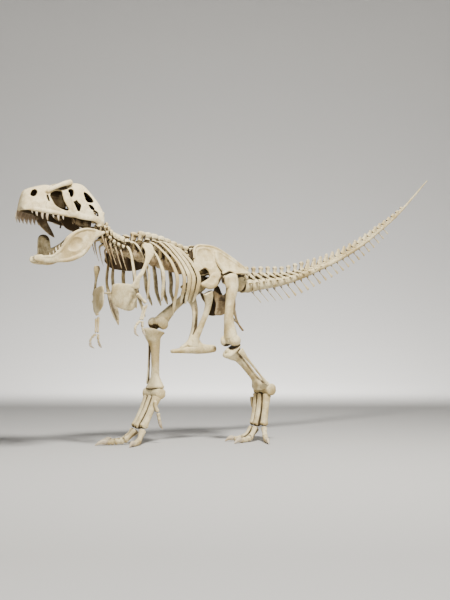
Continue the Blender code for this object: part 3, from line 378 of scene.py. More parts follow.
def column(line, count):
    """The vertebrae along a line of (x, z, radius): each as its middle, length, radius, tailward and
    upward direction."""
    rows = [(x, 0.0, z, radius) for x, z, radius in line]
    joints = curve(rows, np.linspace(0, 1, count + 1))
    vertebrae = []
    for start, end in zip(joints, joints[1:]):
        along = unit(end[:3] - start[:3])
        over = np.cross(along, ACROSS)
        over *= np.sign(over[2])
        length = np.linalg.norm(end[:3] - start[:3])
        vertebrae.append(((start[:3] + end[:3]) / 2, length, (start[3] + end[3]) / 2, along, over))
    return vertebrae


BODY_PROFILE = ((-0.505, 0.98), (-0.44, 1.03), (-0.30, 0.88), (0.0, 0.80), (0.30, 0.88), (0.44, 1.03), (0.505, 0.98))


def body(vertebra, waist=1.0, square=2.3):
    """The vertebral body: a spool that flares to a lip at each joint."""
    middle, length, radius, along, over = vertebra
    rows = [(*(middle + along * length * share), *[radius * (1 - (1 - size) * waist)] * 2) for share, size in BODY_PROFILE]
    return sweep(rows, ACROSS, 20, 26, square, (0.16, 0.16))


def arch(vertebra, long=0.36, wide=0.62):
    """The neural arch: a block from inside the body up to the foot of the spine."""
    middle, length, radius, along, over = vertebra
    rows = [
        (*(middle + over * radius * up), length * long * a, radius * wide * b)
        for up, a, b in ((0.5, 1.0, 1.0), (1.1, 1.0, 0.9), (1.5, 0.85, 0.5))
    ]
    return sweep(rows, along, 16, 10, 3.0, (0.3, 0.5))


def spine(vertebra, height, foot, top, thick, cap, rise=None, blunt=0.55):
    """The neural spine: a blade along rise, or square to the bone, whose top edge thickens by cap."""
    middle, length, radius, along, over = vertebra
    rise = over if rise is None else rise
    reach = height - radius * 0.8
    rows = []
    for share, long, wide in ((0.0, foot, 1.6), (0.3, foot * 0.85, 1.0), (0.62, top * 0.80, 0.9), (0.84, top * 1.02, cap), (1.0, top * 0.94, cap)):
        up = radius * 0.8 + reach * share
        rows.append((*(middle + rise * up), length * long, thick * wide))
    return sweep(rows, along, 16, 22, 2.5, (0.5, blunt))


def wings(vertebra, reach, low, high, back=0.0, long=0.24, thick=0.020, sides=(-1.0, 1.0)):
    """The transverse processes: flat bars from the arch out to the sides, rising from low to high."""
    middle, length, radius, along, over = vertebra
    shells = []
    for side in sides:
        rows = []
        for share, size in ((0.0, 1.25), (0.4, 0.85), (0.8, 0.9), (1.0, 1.05)):
            place = middle + over * (low + (high - low) * share) + ACROSS * side * reach * share + along * back * share
            rows.append((*place, length * long * size, thick * size))
        shells.append(sweep(rows, along, 14, 14, 2.6, (0.3, 0.9)))
    return shells


def yokes(vertebra, rise=1.35, spread=0.42, size=0.15, before=0.72, behind=0.55):
    """The paired joints of the arch: slanting bars that reach forward and up, and back over the next bone."""
    middle, length, radius, along, over = vertebra
    shells = []
    for side in SIDES.values():
        foot = middle + over * radius * 0.85 + ACROSS * side * radius * spread
        fore = middle + over * radius * (rise + 0.12) + ACROSS * side * radius * (spread + 0.06) - along * length * before
        rear = middle + over * radius * rise * 1.08 + ACROSS * side * radius * spread * 0.7 + along * length * behind
        hip = middle + over * radius * 1.5 + ACROSS * side * radius * 0.25
        thick = radius * size
        shells.append(sweep([(*foot, thick * 1.3, thick * 1.5), (*((foot + fore) / 2), thick, thick), (*fore, thick * 1.1, thick * 1.3)], ACROSS, 10, 10, 2.4))
        shells.append(sweep([(*hip, thick, thick * 1.4), (*rear, thick * 1.2, thick * 0.9)], ACROSS, 10, 8, 2.4))
    return shells


def build_neck():
    vertebrae = column(NECK_LINE, NECK_COUNT)
    half = NECK_COUNT // 2
    for name, part in (("neck_front", vertebrae[:half]), ("neck_back", vertebrae[half:])):
        shells, ribs = [], []
        for vertebra in part:
            middle, length, radius, along, over = vertebra
            height = read(NECK_SPINES, middle[0])
            shells += [body(vertebra), arch(vertebra, 0.46, 1.15), spine(vertebra, height + 0.02, 0.44, 0.42, 0.045, 1.3)]
            shells += wings(vertebra, 0.175, 0.06, -0.01, 0.02, 0.34, 0.034)
            shells += yokes(vertebra, 1.15, 0.85, 0.34, 0.62, 0.55)
            for side in SIDES.values():
                root = middle + ACROSS * side * radius * 0.5 - over * radius * 0.35
                elbow = middle + ACROSS * side * 0.15 - over * 0.10
                bend = elbow + np.array((0.035, side * 0.02, -0.15))
                tip = elbow + np.array((0.10, side * 0.03, -0.33))
                rows = ((*root, 0.026, 0.022), (*elbow, 0.019, 0.018), (*bend, 0.011, 0.010), (*tip, 0.005, 0.005))
                ribs.append(sweep(rows, ALONG, 10, 26))
        grow(name, shells, [name], grain=0.0055, rounding=2)
        grow(name + "_ribs", ribs, [name], "stained", grain=0.0045, rounding=2)


# Ribs from front to back: shoulder x and z, x and half width where the cage is widest, tip x, y and z.
RIBS = (
    (-2.04, 3.52, -2.03, 0.38, -2.03, 0.04, 2.16),
    (-1.93, 3.60, -1.83, 0.52, -1.80, 0.44, 2.60),
    (-1.72, 3.62, -1.57, 0.59, -1.53, 0.50, 2.58),
    (-1.59, 3.64, -1.31, 0.63, -1.22, 0.42, 2.34),
    (-1.45, 3.67, -1.11, 0.59, -1.06, 0.44, 2.56),
    (-1.32, 3.67, -0.94, 0.52, -0.91, 0.38, 2.56),
    (-1.19, 3.65, -0.80, 0.47, -0.80, 0.33, 2.59),
    (-1.07, 3.60, -0.65, 0.44, -0.68, 0.30, 2.60),
)
RIB_HALF_WIDTH = 0.037
RIB_HALF_THICK = 0.016
SHORT_ARMS_FROM = -0.75


def rib(vertebra, side, row, broad=1.0, blade=1.0):
    """A rib: head on the vertebral body, shoulder on the transverse process, then a long bowed shaft
    whose flat section keeps its width fore and aft.  broad scales it all and blade its lower half."""
    top_x, top_z, wide_x, width, tip_x, tip_y, tip_z = row
    middle = vertebra[0]
    path = (
        (middle[0], 0.07, middle[2] + 0.03, 0.75),
        (top_x, 0.26 * min(1.0, width / 0.45), top_z, 0.80),
        (0.34 * top_x + 0.66 * wide_x, 0.80 * width, 3.38, 0.85),
        (wide_x, width, 3.08, 1.05),
        (0.6 * wide_x + 0.4 * tip_x, 0.97 * width, 2.86, 1.0),
        (0.3 * wide_x + 0.7 * tip_x, 0.65 * tip_y + 0.35 * width, 0.6 * tip_z + 0.4 * 2.86, 0.85 * blade),
        (tip_x, tip_y, tip_z, 0.30),
    )
    rows = [(x, side * y, z, RIB_HALF_WIDTH * broad * size, RIB_HALF_THICK * (0.55 + 0.45 * size)) for x, y, z, size in path]
    return sweep(rows, ALONG, 14, 64, 2.5, (0.8, 2.2))


# How broad each rib is, as a whole and in its lower half.
RIB_BREADTHS = {
    "left": ((0.75, 1.0), (0.62, 0.9), (0.9, 1.0), (1.0, 1.0), (1.05, 1.0), (1.2, 1.0), (1.25, 1.0), (1.25, 1.0)),
    "right": ((0.75, 3.1), (0.8, 1.0), (1.0, 1.0), (1.0, 1.0), (1.0, 1.0), (1.1, 1.0), (1.1, 1.0), (1.1, 1.0)),
}
FIRST_RIB_TIP = {"left": (-1.88, 0.25, 2.45), "right": (-2.03, 0.04, 2.16)}
# A dark sheet between the upper ribs of the right side, in the painted-shade finish, put where the cage lies in shadow:
# (x, half width, middle height, half height).
RIB_SHADE_SHEET = ((-2.10, 0.30, 3.47, 0.16), (-1.90, 0.40, 3.40, 0.20), (-1.70, 0.45, 3.38, 0.20), (-1.45, 0.45, 3.38, 0.19), (-1.25, 0.42, 3.40, 0.14))


def build_trunk():
    vertebrae = column(BACK_LINE, BACK_COUNT)
    bodies = [body(vertebra) for vertebra in vertebrae]
    grow("back_bodies", bodies, ["trunk_left", "trunk_right"], "stained", grain=0.0068)
    shells = []
    for vertebra in vertebrae:
        height = read(BACK_SPINES, vertebra[0][0])
        reach = 0.25 if vertebra[0][0] < SHORT_ARMS_FROM else 0.12
        shells += [arch(vertebra, 0.44, 0.8), spine(vertebra, height, 0.40, 0.50, 0.036, 1.5)]
        shells += wings(vertebra, reach, 0.13, height - 0.17, 0.0, 0.30, 0.026)
        shells += yokes(vertebra, 1.35, 0.45, 0.22)
    grow("back_vertebrae", shells, ["trunk_left", "trunk_right"], grain=0.0068)
    for name, side in SIDES.items():
        rows = ((*RIBS[0][:4], *FIRST_RIB_TIP[name]), *RIBS[1:])
        shells = [rib(vertebra, side, row, *breadth) for vertebra, row, breadth in zip(vertebrae, rows, RIB_BREADTHS[name])]
        grow("ribs_" + name, shells, ["trunk_" + name], grain=0.0056, rounding=2, inner_shade=0.40)
    # A dark sheet that stands for the shade between the upper right ribs.
    wall = sweep([(x, y, z, 0.018, high) for x, y, z, high in RIB_SHADE_SHEET], ACROSS, 18, 40, 2.4, (0.5, 0.5))
    grow("matrix", [wall], ["trunk_right"], "stained", rough=3.0, inner_shade=0.6)


def build_sacrum():
    shells = []
    for vertebra in column(SACRUM_LINE, SACRUM_COUNT):
        height = read(SACRUM_SPINES, vertebra[0][0])
        shells += [body(vertebra, 0.6), arch(vertebra, 0.45, 0.7), spine(vertebra, height, 0.44, 0.47, 0.020, 1.5)]
        shells += wings(vertebra, 0.15, 0.05, 0.12, 0.0, 0.3, 0.03)
    grow("sacrum", shells, ["sacrum"], grain=0.0075)


def chevron(vertebra, drop):
    """A chevron: two short arms under the joint that meet in one rod, slanting back to a club end."""
    middle, length, radius, along, over = vertebra
    head = middle - UP * radius * 0.8
    fork = head - UP * drop * 0.22 + ALONG * drop * 0.10
    tip = middle - UP * drop + ALONG * drop * read(CHEVRON_LEAN, middle[0])
    club = 0.009 + 0.021 * np.clip((middle[0] - 1.5) / 0.5, 0, 1) * np.clip(drop / 0.22, 0.6, 1)
    waist = (fork * 3 + tip) / 4 + ALONG * 0.006
    near = fork + (tip - fork) * 0.84
    rod = [(*fork, 0.011, 0.012), (*waist, 0.009, 0.010), (*near, 0.011, club), (*tip, 0.012, club * 1.15)]
    shells = [sweep(rod, ACROSS, 12, 20, 2.0, (1.0, 0.7))]
    for side in SIDES.values():
        shells.append(sweep([(*(head + ACROSS * side * radius * 0.35), 0.011, 0.014), (*fork, 0.010, 0.012)], ACROSS, 10, 8))
    return shells


def build_tail():
    vertebrae = column(TAIL_LINE, TAIL_COUNT)
    for number, (first, last) in enumerate(zip(TAIL_STARTS, TAIL_STARTS[1:]), 1):
        shells = []
        for index in range(first, last):
            vertebra = vertebrae[index]
            middle, length, radius, along, over = vertebra
            shells.append(body(vertebra, 0.38 if index < 25 else 0.7))
            if index < SPINED_TAIL:
                height = read(TAIL_SPINES, middle[0])
                if index < BLADED_FROM:
                    shells += [arch(vertebra, 0.34, 0.50), spine(vertebra, height, 0.28, 0.27, 0.024, 1.7, unit(UP + ALONG * 0.10), 1.0)]
                    shells += yokes(vertebra, 1.42, 0.62, 0.27, 0.60, 0.60)
                else:
                    lean = np.interp(index, (BLADED_FROM, 16), (0.12, 0.24))
                    shells += [arch(vertebra, 0.40, 0.50), spine(vertebra, height * 1.08, 0.48, 0.25, 0.030, 1.0, unit(UP + ALONG * lean), 2.4)]
                    shells += yokes(vertebra, 1.12, 0.50, 0.20, 0.55, 0.45)
            if index < 12:
                shells += wings(vertebra, 0.24 * (1 - index / 16), 0.03, 0.04, 0.02, 0.18, 0.016)
            if 0 < index < CHEVRON_TAIL:
                shells += chevron(vertebra, read(CHEVRONS, middle[0]))
        grow(f"tail_{number}", shells, [f"tail_{number}"], grain=(0.0078, 0.0062, 0.0050, 0.0040)[number - 1], rounding=2)


# ---------------------------------------------------------------- skull


def head_frame(pitch):
    fore = np.array((-math.cos(pitch), 0.0, math.sin(pitch)))
    over = np.array((math.sin(pitch), 0.0, math.cos(pitch)))
    return fore, over


def head_place(pitch):
    """Turns (forward from the jaw joint, height) and lateral offsets into places in space."""
    fore, over = head_frame(pitch)

    def place(points, lateral):
        points = np.asarray(points, float)
        lateral = np.asarray(lateral, float)
        ahead, height = points[..., 0:1] * HEAD_LENGTH, points[..., 1:2] * HEAD_SCALE
        return JAW_JOINT + fore * ahead + over * height + ACROSS * lateral[..., None] * HEAD_SCALE

    return place


# Forward distance, half width low and high, height of the lower margin and of the roof.
SKULL_STATIONS = (
    (1.325, 0.06, 0.035, 0.06, 0.28), (1.295, 0.125, 0.075, 0.00, 0.36), (1.19, 0.175, 0.105, 0.02, 0.435),
    (1.00, 0.215, 0.12, 0.04, 0.535), (0.86, 0.25, 0.125, 0.05, 0.565), (0.70, 0.31, 0.16, 0.05, 0.61),
    (0.55, 0.375, 0.22, 0.06, 0.70), (0.38, 0.415, 0.25, 0.08, 0.735), (0.20, 0.43, 0.235, 0.10, 0.655),
    (0.04, 0.43, 0.25, 0.07, 0.52), (-0.06, 0.40, 0.29, 0.05, 0.37),
)
SKULL_WALL = 0.04
# Where each point of a half section stands: share of the low half width, of the high one and of the height.
SKULL_RING = ((1.0, 0.0, 0.0), (1.02, 0.0, 0.30), (0.62, 0.40, 0.68), (0.0, 1.0, 0.93), (0.0, 0.55, 1.0))


def skull_section(ahead):
    """Half section of the skull at that distance, as (half width, height) from its foot to its roof."""
    table = np.array(SKULL_STATIONS[::-1])
    low, high, foot, roof = (np.interp(ahead, table[:, 0], table[:, k]) for k in range(1, 5))
    ring = np.array(SKULL_RING)
    return np.column_stack((low * ring[:, 0] + high * ring[:, 1], foot + (roof - foot) * ring[:, 2]))


def skull_shell(inset, drop, around=21):
    """The skull's dome: half sections from a smooth curve through SKULL_RING, mirrored, along the
    smooth table of stations.  inset draws all sides in and drop lowers the foot."""
    place = head_place(SKULL_PITCH)
    shrink = 1.0 if inset == 0 else 1 - SKULL_WALL / SKULL_STATIONS[0][0]
    stations = curve(np.array(SKULL_STATIONS)[:, [0, 4, 1, 2, 3]], np.linspace(0, 1, 56))[:, [0, 2, 3, 4, 1]]
    ring = curve(np.array(SKULL_RING), np.linspace(0, 1, around))
    across = stations[:, 1:2] * ring[None, :, 0] + stations[:, 2:3] * ring[None, :, 1]
    foot, roof = stations[:, 3:4], stations[:, 4:5]
    height = foot + (roof - inset - foot) * ring[None, :, 2]
    height = np.where(ring[None, :, 2] <= 1e-6, height - drop, height)
    across = np.maximum(0.015, across - inset)
    ahead = np.broadcast_to(stations[:, 0:1] * shrink, across.shape)
    flat = np.stack((ahead, height), -1)
    near, far = place(flat, -across), place(flat, across)
    return shell(np.concatenate((near, far[:, ::-1]), axis=1))


ANTORBITAL = (
    (0.925, 0.355), (0.885, 0.42), (0.80, 0.482), (0.725, 0.485), (0.715, 0.40), (0.68, 0.29), (0.605, 0.165), (0.66, 0.150), (0.76, 0.170),
    (0.83, 0.207), (0.88, 0.277),
)
ORBIT = ((0.635, 0.526), (0.584, 0.563), (0.555, 0.530), (0.562, 0.435), (0.607, 0.401))
TEMPORAL = ((0.590, 0.375), (0.545, 0.335), (0.512, 0.375), (0.475, 0.335), (0.425, 0.30), (0.435, 0.185), (0.48, 0.20), (0.535, 0.28))
SUPRATEMPORAL = ((0.385, 0.560), (0.335, 0.400), (0.19, 0.430), (0.24, 0.525))
REAR_HOLES = (((0.295, 0.350), (0.215, 0.355), (0.165, 0.300), (0.235, 0.280)), ((0.195, 0.280), (0.107, 0.272), (0.080, 0.20), (0.165, 0.215)))
NOSTRIL = ((1.240, 0.275), (1.215, 0.360), (1.155, 0.392), (1.130, 0.350), (1.150, 0.280), (1.205, 0.252))
FOSSA_RIM = ((0.988, 0.335), (0.955, 0.345), (0.935, 0.300), (0.918, 0.240), (0.950, 0.256))
PALATE_FLANGE = {
    "left": ((0.42, 0.20), (0.415, 0.08), (0.40, 0.01), (0.37, 0.01), (0.35, 0.08), (0.34, 0.25)),
    "right": ((0.93, 0.10), (0.90, -0.02), (0.80, -0.10), (0.66, -0.165), (0.50, -0.215), (0.46, -0.205), (0.58, -0.09), (0.70, 0.02), (0.72, 0.16)),
}
# Forward distance, length and half breadth of each tooth's crown.
UPPER_TEETH = {
    "left": (
        (1.17, 0.045, 0.014), (1.085, 0.085, 0.024), (0.988, 0.12, 0.026), (0.905, 0.13, 0.026), (0.82, 0.06, 0.018),
        (0.735, 0.09, 0.024), (0.665, 0.06, 0.018),
    ),
    "right": (
        (1.275, 0.20, 0.026), (1.215, 0.19, 0.040), (1.14, 0.19, 0.042), (1.06, 0.19, 0.044), (0.98, 0.18, 0.040), (0.90, 0.16, 0.036),
        (0.82, 0.14, 0.030), (0.74, 0.12, 0.026),
    ),
}
LOWER_TEETH = {
    "left": ((0.97, 0.035, 0.012), (0.91, 0.05, 0.014), (0.85, 0.075, 0.018), (0.79, 0.06, 0.018), (0.73, 0.045, 0.016)),
    "right": ((1.04, 0.04, 0.014), (0.98, 0.05, 0.016)),
}


def window(outline, side, near=0.03, far=0.60):
    """Cutter for an opening in one side wall of the skull: its smooth outline drawn straight outwards."""
    place = head_place(SKULL_PITCH)
    rim = curve(outline, np.linspace(0, 1, 32, endpoint=False), closed=True)
    depth = np.linspace(near, far, 4)
    return shell(np.stack([place(rim, np.full(32, side * d)) for d in depth]))


def on_cheek(ahead, height, out=0.0):
    """Half width of the skull's side wall at a distance and height."""
    half = skull_section(ahead)
    return np.interp(height, half[:, 1], half[:, 0]) + out


def along_cheek(points, side, sizes, out=0.0):
    """Rows of a bar that lies on the side wall of the skull."""
    place = head_place(SKULL_PITCH)
    return [(*place(point, side * on_cheek(*point, out)), size[0], size[1]) for point, size in zip(points, sizes)]


def tooth(root, tip, size, bend):
    """A tooth: an oval cone whose middle is pushed forward by bend, so that its point curves back."""
    middle = root + (tip - root) * 0.55 + bend * np.linalg.norm(tip - root) * 0.12
    thick = min(size, 0.024) * 0.8
    rows = ((*root, thick, size), (*middle, thick * 0.8, size * 0.84), (*tip, 0.003, 0.004))
    return sweep(rows, ACROSS, 12, 14, 2.2, (0.3, 1.0))


def build_cranium():
    place = head_place(SKULL_PITCH)
    fore, over = head_frame(SKULL_PITCH)
    outer = [skull_shell(0.0, 0.0)]
    cuts = [skull_shell(SKULL_WALL, 0.2)]
    quadrates, inner, teeth = [], [], []
    for name, side in SIDES.items():
        cuts += [window(outline, side) for outline in (ANTORBITAL, ORBIT, TEMPORAL, SUPRATEMPORAL, *REAR_HOLES, NOSTRIL, FOSSA_RIM)]
        brow = (
            (1.00, 0.175, 0.375, 0.75), (0.93, 0.195, 0.455, 0.85), (0.83, 0.20, 0.54, 0.95), (0.72, 0.215, 0.615, 1.1),
            (0.635, 0.225, 0.665, 1.25), (0.585, 0.225, 0.685, 1.05),
        )
        rows = [(*place((ahead, height), side * lateral), 0.046 * size, 0.040 * size) for ahead, lateral, height, size in brow]
        outer.append(sweep(rows, ACROSS, 16, 30, 2.8, (1.5, 0.5)))
        cheek = along_cheek(((0.62, 0.16), (0.50, 0.13), (0.36, 0.12), (0.18, 0.14), (0.02, 0.14)), side, ((0.02, 0.05), (0.024, 0.06), (0.022, 0.055), (0.022, 0.05), (0.03, 0.06)), -0.008)
        outer.append(sweep(cheek, ACROSS, 12, 24, 2.4))
        lip = along_cheek(((1.28, 0.04), (1.10, 0.05), (0.90, 0.07), (0.72, 0.075), (0.58, 0.09)), side, ((0.022, 0.03), (0.026, 0.035), (0.026, 0.035), (0.024, 0.03), (0.02, 0.03)), -0.012)
        outer.append(sweep(lip, ACROSS, 12, 30, 2.2))
        bar = along_cheek(((0.62, 0.50), (0.555, 0.36), (0.52, 0.22), (0.50, 0.13)), side, ((0.024, 0.045), (0.022, 0.04), (0.022, 0.045), (0.022, 0.06)), -0.008)
        outer.append(sweep(bar, ACROSS, 12, 20, 2.4))
        quadrate = [(*place(point, side * 0.385), wide, deep) for point, wide, deep in (((0.02, 0.32), 0.03, 0.06), ((0.03, 0.10), 0.035, 0.05), ((0.01, 0.035), 0.06, 0.05))]
        quadrates.append(sweep(quadrate, ACROSS, 14, 14, 2.4, (0.4, 0.6)))
        def flange_place(points, shift, s=side):
            return place(points, s * (0.18 - 0.30 * points[:, 1]) + shift)

        inner.append(pillow(PALATE_FLANGE[name], flange_place, 0.018))
        wall = ((0.40, 0.20, 0.08), (0.33, 0.16, 0.13), (0.22, 0.14, 0.16), (0.06, 0.16, 0.14))
        inner.append(sweep([(*place((a, h), side * 0.20), 0.016, high) for a, h, high in wall], ACROSS, 18, 24, 2.6, (0.4, 0.4)))
        for bar_ahead, bar_height in ((0.38, -0.02), (0.25, 0.02)):
            rows = [(*place((bar_ahead + lean, bar_height + up), side * 0.27), 0.012, 0.016) for lean, up in ((0.02, 0.20), (0.0, 0.10), (-0.005, 0.0))]
            inner.append(sweep(rows, ACROSS, 10, 12))
        for ahead, length, broad in UPPER_TEETH[name]:
            foot = skull_section(ahead)[0]
            lateral = side * (foot[0] - 0.020)
            root = place((ahead, foot[1] + 0.035), lateral)
            teeth.append(tooth(root, place((ahead - 0.022, foot[1] - length), lateral), broad, fore))
    palate = ((1.20, 0.10, 0.10), (0.95, 0.13, 0.15), (0.65, 0.17, 0.20), (0.35, 0.21, 0.27), (0.08, 0.26, 0.36))
    inner.append(sweep([(*place((a, h), 0.0), w * 1.25, 0.020) for a, h, w in palate], ACROSS, 24, 24, 3.0, (0.3, 0.3)))
    braincase = ((0.42, 0.50, 0.12, 0.10), (0.20, 0.43, 0.15, 0.15), (0.0, 0.36, 0.20, 0.17), (-0.06, 0.34, 0.15, 0.12))
    inner.append(sweep([(*place((a, h), 0.0), w, t) for a, h, w, t in braincase], ACROSS, 20, 16, 2.6, (0.3, 0.4)))
    # A plate down the middle of the snout in the painted-shade finish, so that the openings show a dark inside.
    septum = ((1.02, 0.20), (0.95, 0.44), (0.80, 0.52), (0.58, 0.58), (0.46, 0.40), (0.46, 0.06), (0.62, 0.06), (0.72, 0.11), (0.88, 0.13))
    inner.append(pillow(septum, lambda points, shift: place(points, shift + 0.07), 0.014))
    quadrates.append(ball(place((-0.09, 0.25), 0.0), (0.07, 0.07, 0.07)))
    grow("cranium", outer, ["cranium"], "skull", 0.0072, 4, 1.0, cuts, quadrates, inner_shade=0.6)
    # The bones inside the skull take the darker painted-shade finish.
    grow("skull_inner_bones", inner, ["cranium"], "stained", 0.0072, inner_shade=0.5)
    cast("teeth_upper", teeth, ["cranium"], "tooth", inner_shade=0.45)


# Forward distance, half gap between the rami's mid planes, lower and upper edge, half thickness.
RAMUS_STATIONS = (
    (1.165, 0.05, -0.10, -0.005, 0.040), (1.10, 0.13, -0.16, -0.045, 0.036), (0.93, 0.235, -0.235, -0.10, 0.032),
    (0.83, 0.271, -0.268, -0.062, 0.031), (0.72, 0.31, -0.305, -0.02, 0.030), (0.62, 0.341, -0.317, 0.055, 0.029),
    (0.56, 0.36, -0.325, 0.10, 0.028), (0.42, 0.385, -0.272, 0.135, 0.026), (0.26, 0.395, -0.190, 0.12, 0.026),
    (0.12, 0.395, -0.130, 0.05, 0.032), (0.0, 0.39, -0.11, -0.035, 0.045), (-0.07, 0.385, -0.10, -0.045, 0.03),
)
# The upper edge of the right ramus, and the domed plate that stands on it.
RIGHT_EDGE = (
    (-0.07, -0.045), (0.0, -0.035), (0.12, 0.03), (0.26, -0.03), (0.42, -0.06), (0.56, -0.06), (0.72, -0.05),
    (0.83, -0.07), (0.93, -0.09), (1.10, -0.045), (1.165, -0.005),
)
JAW_DOME = (
    (0.955, -0.10), (0.90, 0.02), (0.85, 0.105), (0.783, 0.195), (0.723, 0.228), (0.647, 0.226), (0.56, 0.18),
    (0.54, 0.09), (0.588, -0.047), (0.64, -0.16), (0.80, -0.20),
)
JAW_FOSSA = ((0.655, -0.03), (0.546, 0.045), (0.43, 0.03), (0.365, -0.056), (0.414, -0.155), (0.55, -0.205), (0.65, -0.17), (0.70, -0.10))


def ramus_at(ahead, name):
    """Half gap, lower edge, upper edge and half thickness of one ramus at a forward distance."""
    table = np.array(RAMUS_STATIONS[::-1])
    gap, low, high, thick = (float(np.interp(ahead, table[:, 0], table[:, k])) for k in range(1, 5))
    return gap, low, read(RIGHT_EDGE, ahead) if name == "right" else high, thick


def build_mandible():
    place = head_place(JAW_PITCH)
    fore, over = head_frame(JAW_PITCH)
    shells, teeth, cuts = [], [], []
    for name, side in SIDES.items():
        rows = []
        for ahead, *_ in RAMUS_STATIONS:
            lateral, low, high, thick = ramus_at(ahead, name)
            rows.append((*place((ahead, (low + high) / 2), side * lateral), thick, (high - low) / 2))
        shells.append(sweep(rows, ACROSS, 28, 60, 2.8, (0.10, 0.25)))
        shelf = []
        for ahead, size in ((1.10, 0.7), (0.93, 0.9), (0.76, 1.0), (0.62, 1.15), (0.50, 1.2), (0.36, 1.1), (0.22, 1.0), (0.08, 1.1)):
            lateral, low, high, _ = ramus_at(ahead, name)
            shelf.append((*place((ahead, high - 0.022), side * (lateral + 0.008)), 0.034 * size, 0.026 * size))
        shells.append(sweep(shelf, ACROSS, 14, 40, 2.2))
        keel = []
        for ahead, size in ((1.08, 0.8), (0.90, 1.0), (0.70, 1.1), (0.50, 1.0), (0.30, 0.7), (0.12, 0.6)):
            lateral, low, high, _ = ramus_at(ahead, name)
            keel.append((*place((ahead, low + 0.03), side * lateral), 0.034 * size, 0.036 * size))
        shells.append(sweep(keel, ACROSS, 14, 36, 2.2))

        def on_ramus(points, shift, s=side, out=0.056):
            table = np.array(RAMUS_STATIONS[::-1])
            lateral = np.interp(points[:, 0], table[:, 0], table[:, 1]) + out
            return place(points, s * lateral + shift)

        cuts.append(pillow(JAW_FOSSA, on_ramus, 0.060, 48, 2.0))
        if name == "right":
            shells.append(pillow(JAW_DOME, lambda points, shift: on_ramus(points, shift, 1.0, 0.0), 0.026, 60, 4.0))
        for ahead, length, broad in LOWER_TEETH[name]:
            lateral, low, high, _ = ramus_at(ahead, name)
            root = place((ahead, high - 0.035), side * lateral)
            teeth.append(tooth(root, place((ahead - 0.02, high + length), side * lateral), broad, fore))
    chin = ((1.15, 0.075, 0.05), (1.09, 0.13, 0.052), (1.03, 0.16, 0.045))
    shells.append(sweep([(*place((a, -0.075), 0.0), w, h) for a, w, h in chin], ACROSS, 20, 12, 3.0, (0.12, 0.3)))
    grow("mandible", shells, ["mandible"], "skull", 0.0068, 4, 1.0, cuts, inner_shade=0.32)
    cast("teeth_lower", teeth, ["mandible"], "tooth")


# ---------------------------------------------------------------- girdles

ILIUM_BLADE = (
    (-0.60, 3.40), (-0.56, 3.58), (-0.50, 3.67), (-0.38, 3.722), (-0.12, 3.71), (0.02, 3.68), (0.20, 3.59), (0.57, 3.38),
    (0.70, 3.28), (0.70, 3.21), (0.42, 3.20), (0.24, 3.17), (0.10, 3.19), (-0.04, 3.16), (-0.18, 3.10), (-0.255, 3.10),
    (-0.28, 3.20), (-0.36, 3.265), (-0.46, 3.245), (-0.55, 3.17), (-0.60, 3.24),
)
PUBIC_LOBE = ((-0.52, 2.94), (-0.43, 2.89), (-0.30, 2.86), (-0.18, 2.90), (-0.08, 2.98), (0.01, 3.12), (-0.06, 3.22), (-0.20, 3.19), (-0.31, 3.07), (-0.44, 3.00))
ISCHIUM_PLATE = (
    (-0.13, 2.86), (0.02, 2.79), (0.14, 2.80), (0.27, 2.98), (0.37, 2.98), (0.42, 2.74), (0.47, 2.52), (0.40, 2.43), (0.30, 2.47),
    (0.24, 2.54), (0.20, 2.42), (0.08, 2.39), (-0.02, 2.42), (-0.03, 2.60), (-0.10, 2.72),
)


# Shallow hollows in the outer face of each ilium: outline and how far out their middle stands.
ILIUM_HOLLOWS = (
    (((-0.50, 3.56), (-0.40, 3.64), (-0.20, 3.64), (-0.14, 3.50), (-0.14, 3.34), (-0.24, 3.24), (-0.42, 3.33), (-0.50, 3.42)), 0.048),
    (((0.0, 3.60), (0.16, 3.54), (0.50, 3.36), (0.56, 3.27), (0.30, 3.25), (0.10, 3.28), (0.0, 3.40)), 0.053),
    (((-0.42, 3.00), (-0.36, 3.11), (-0.25, 3.15), (-0.155, 3.10), (-0.20, 2.99), (-0.30, 2.94)), 0.088),
)


def hip_plane(side, low=0.33, high=0.13):
    """The leaning plane of an ilium: low and high are the lateral distances at its foot and crest."""

    def place(points, shift):
        lateral = low + (high - low) * (points[:, 1] - 2.9) / 0.82
        return np.column_stack((points[:, 0], side * lateral + shift, points[:, 1]))

    return place


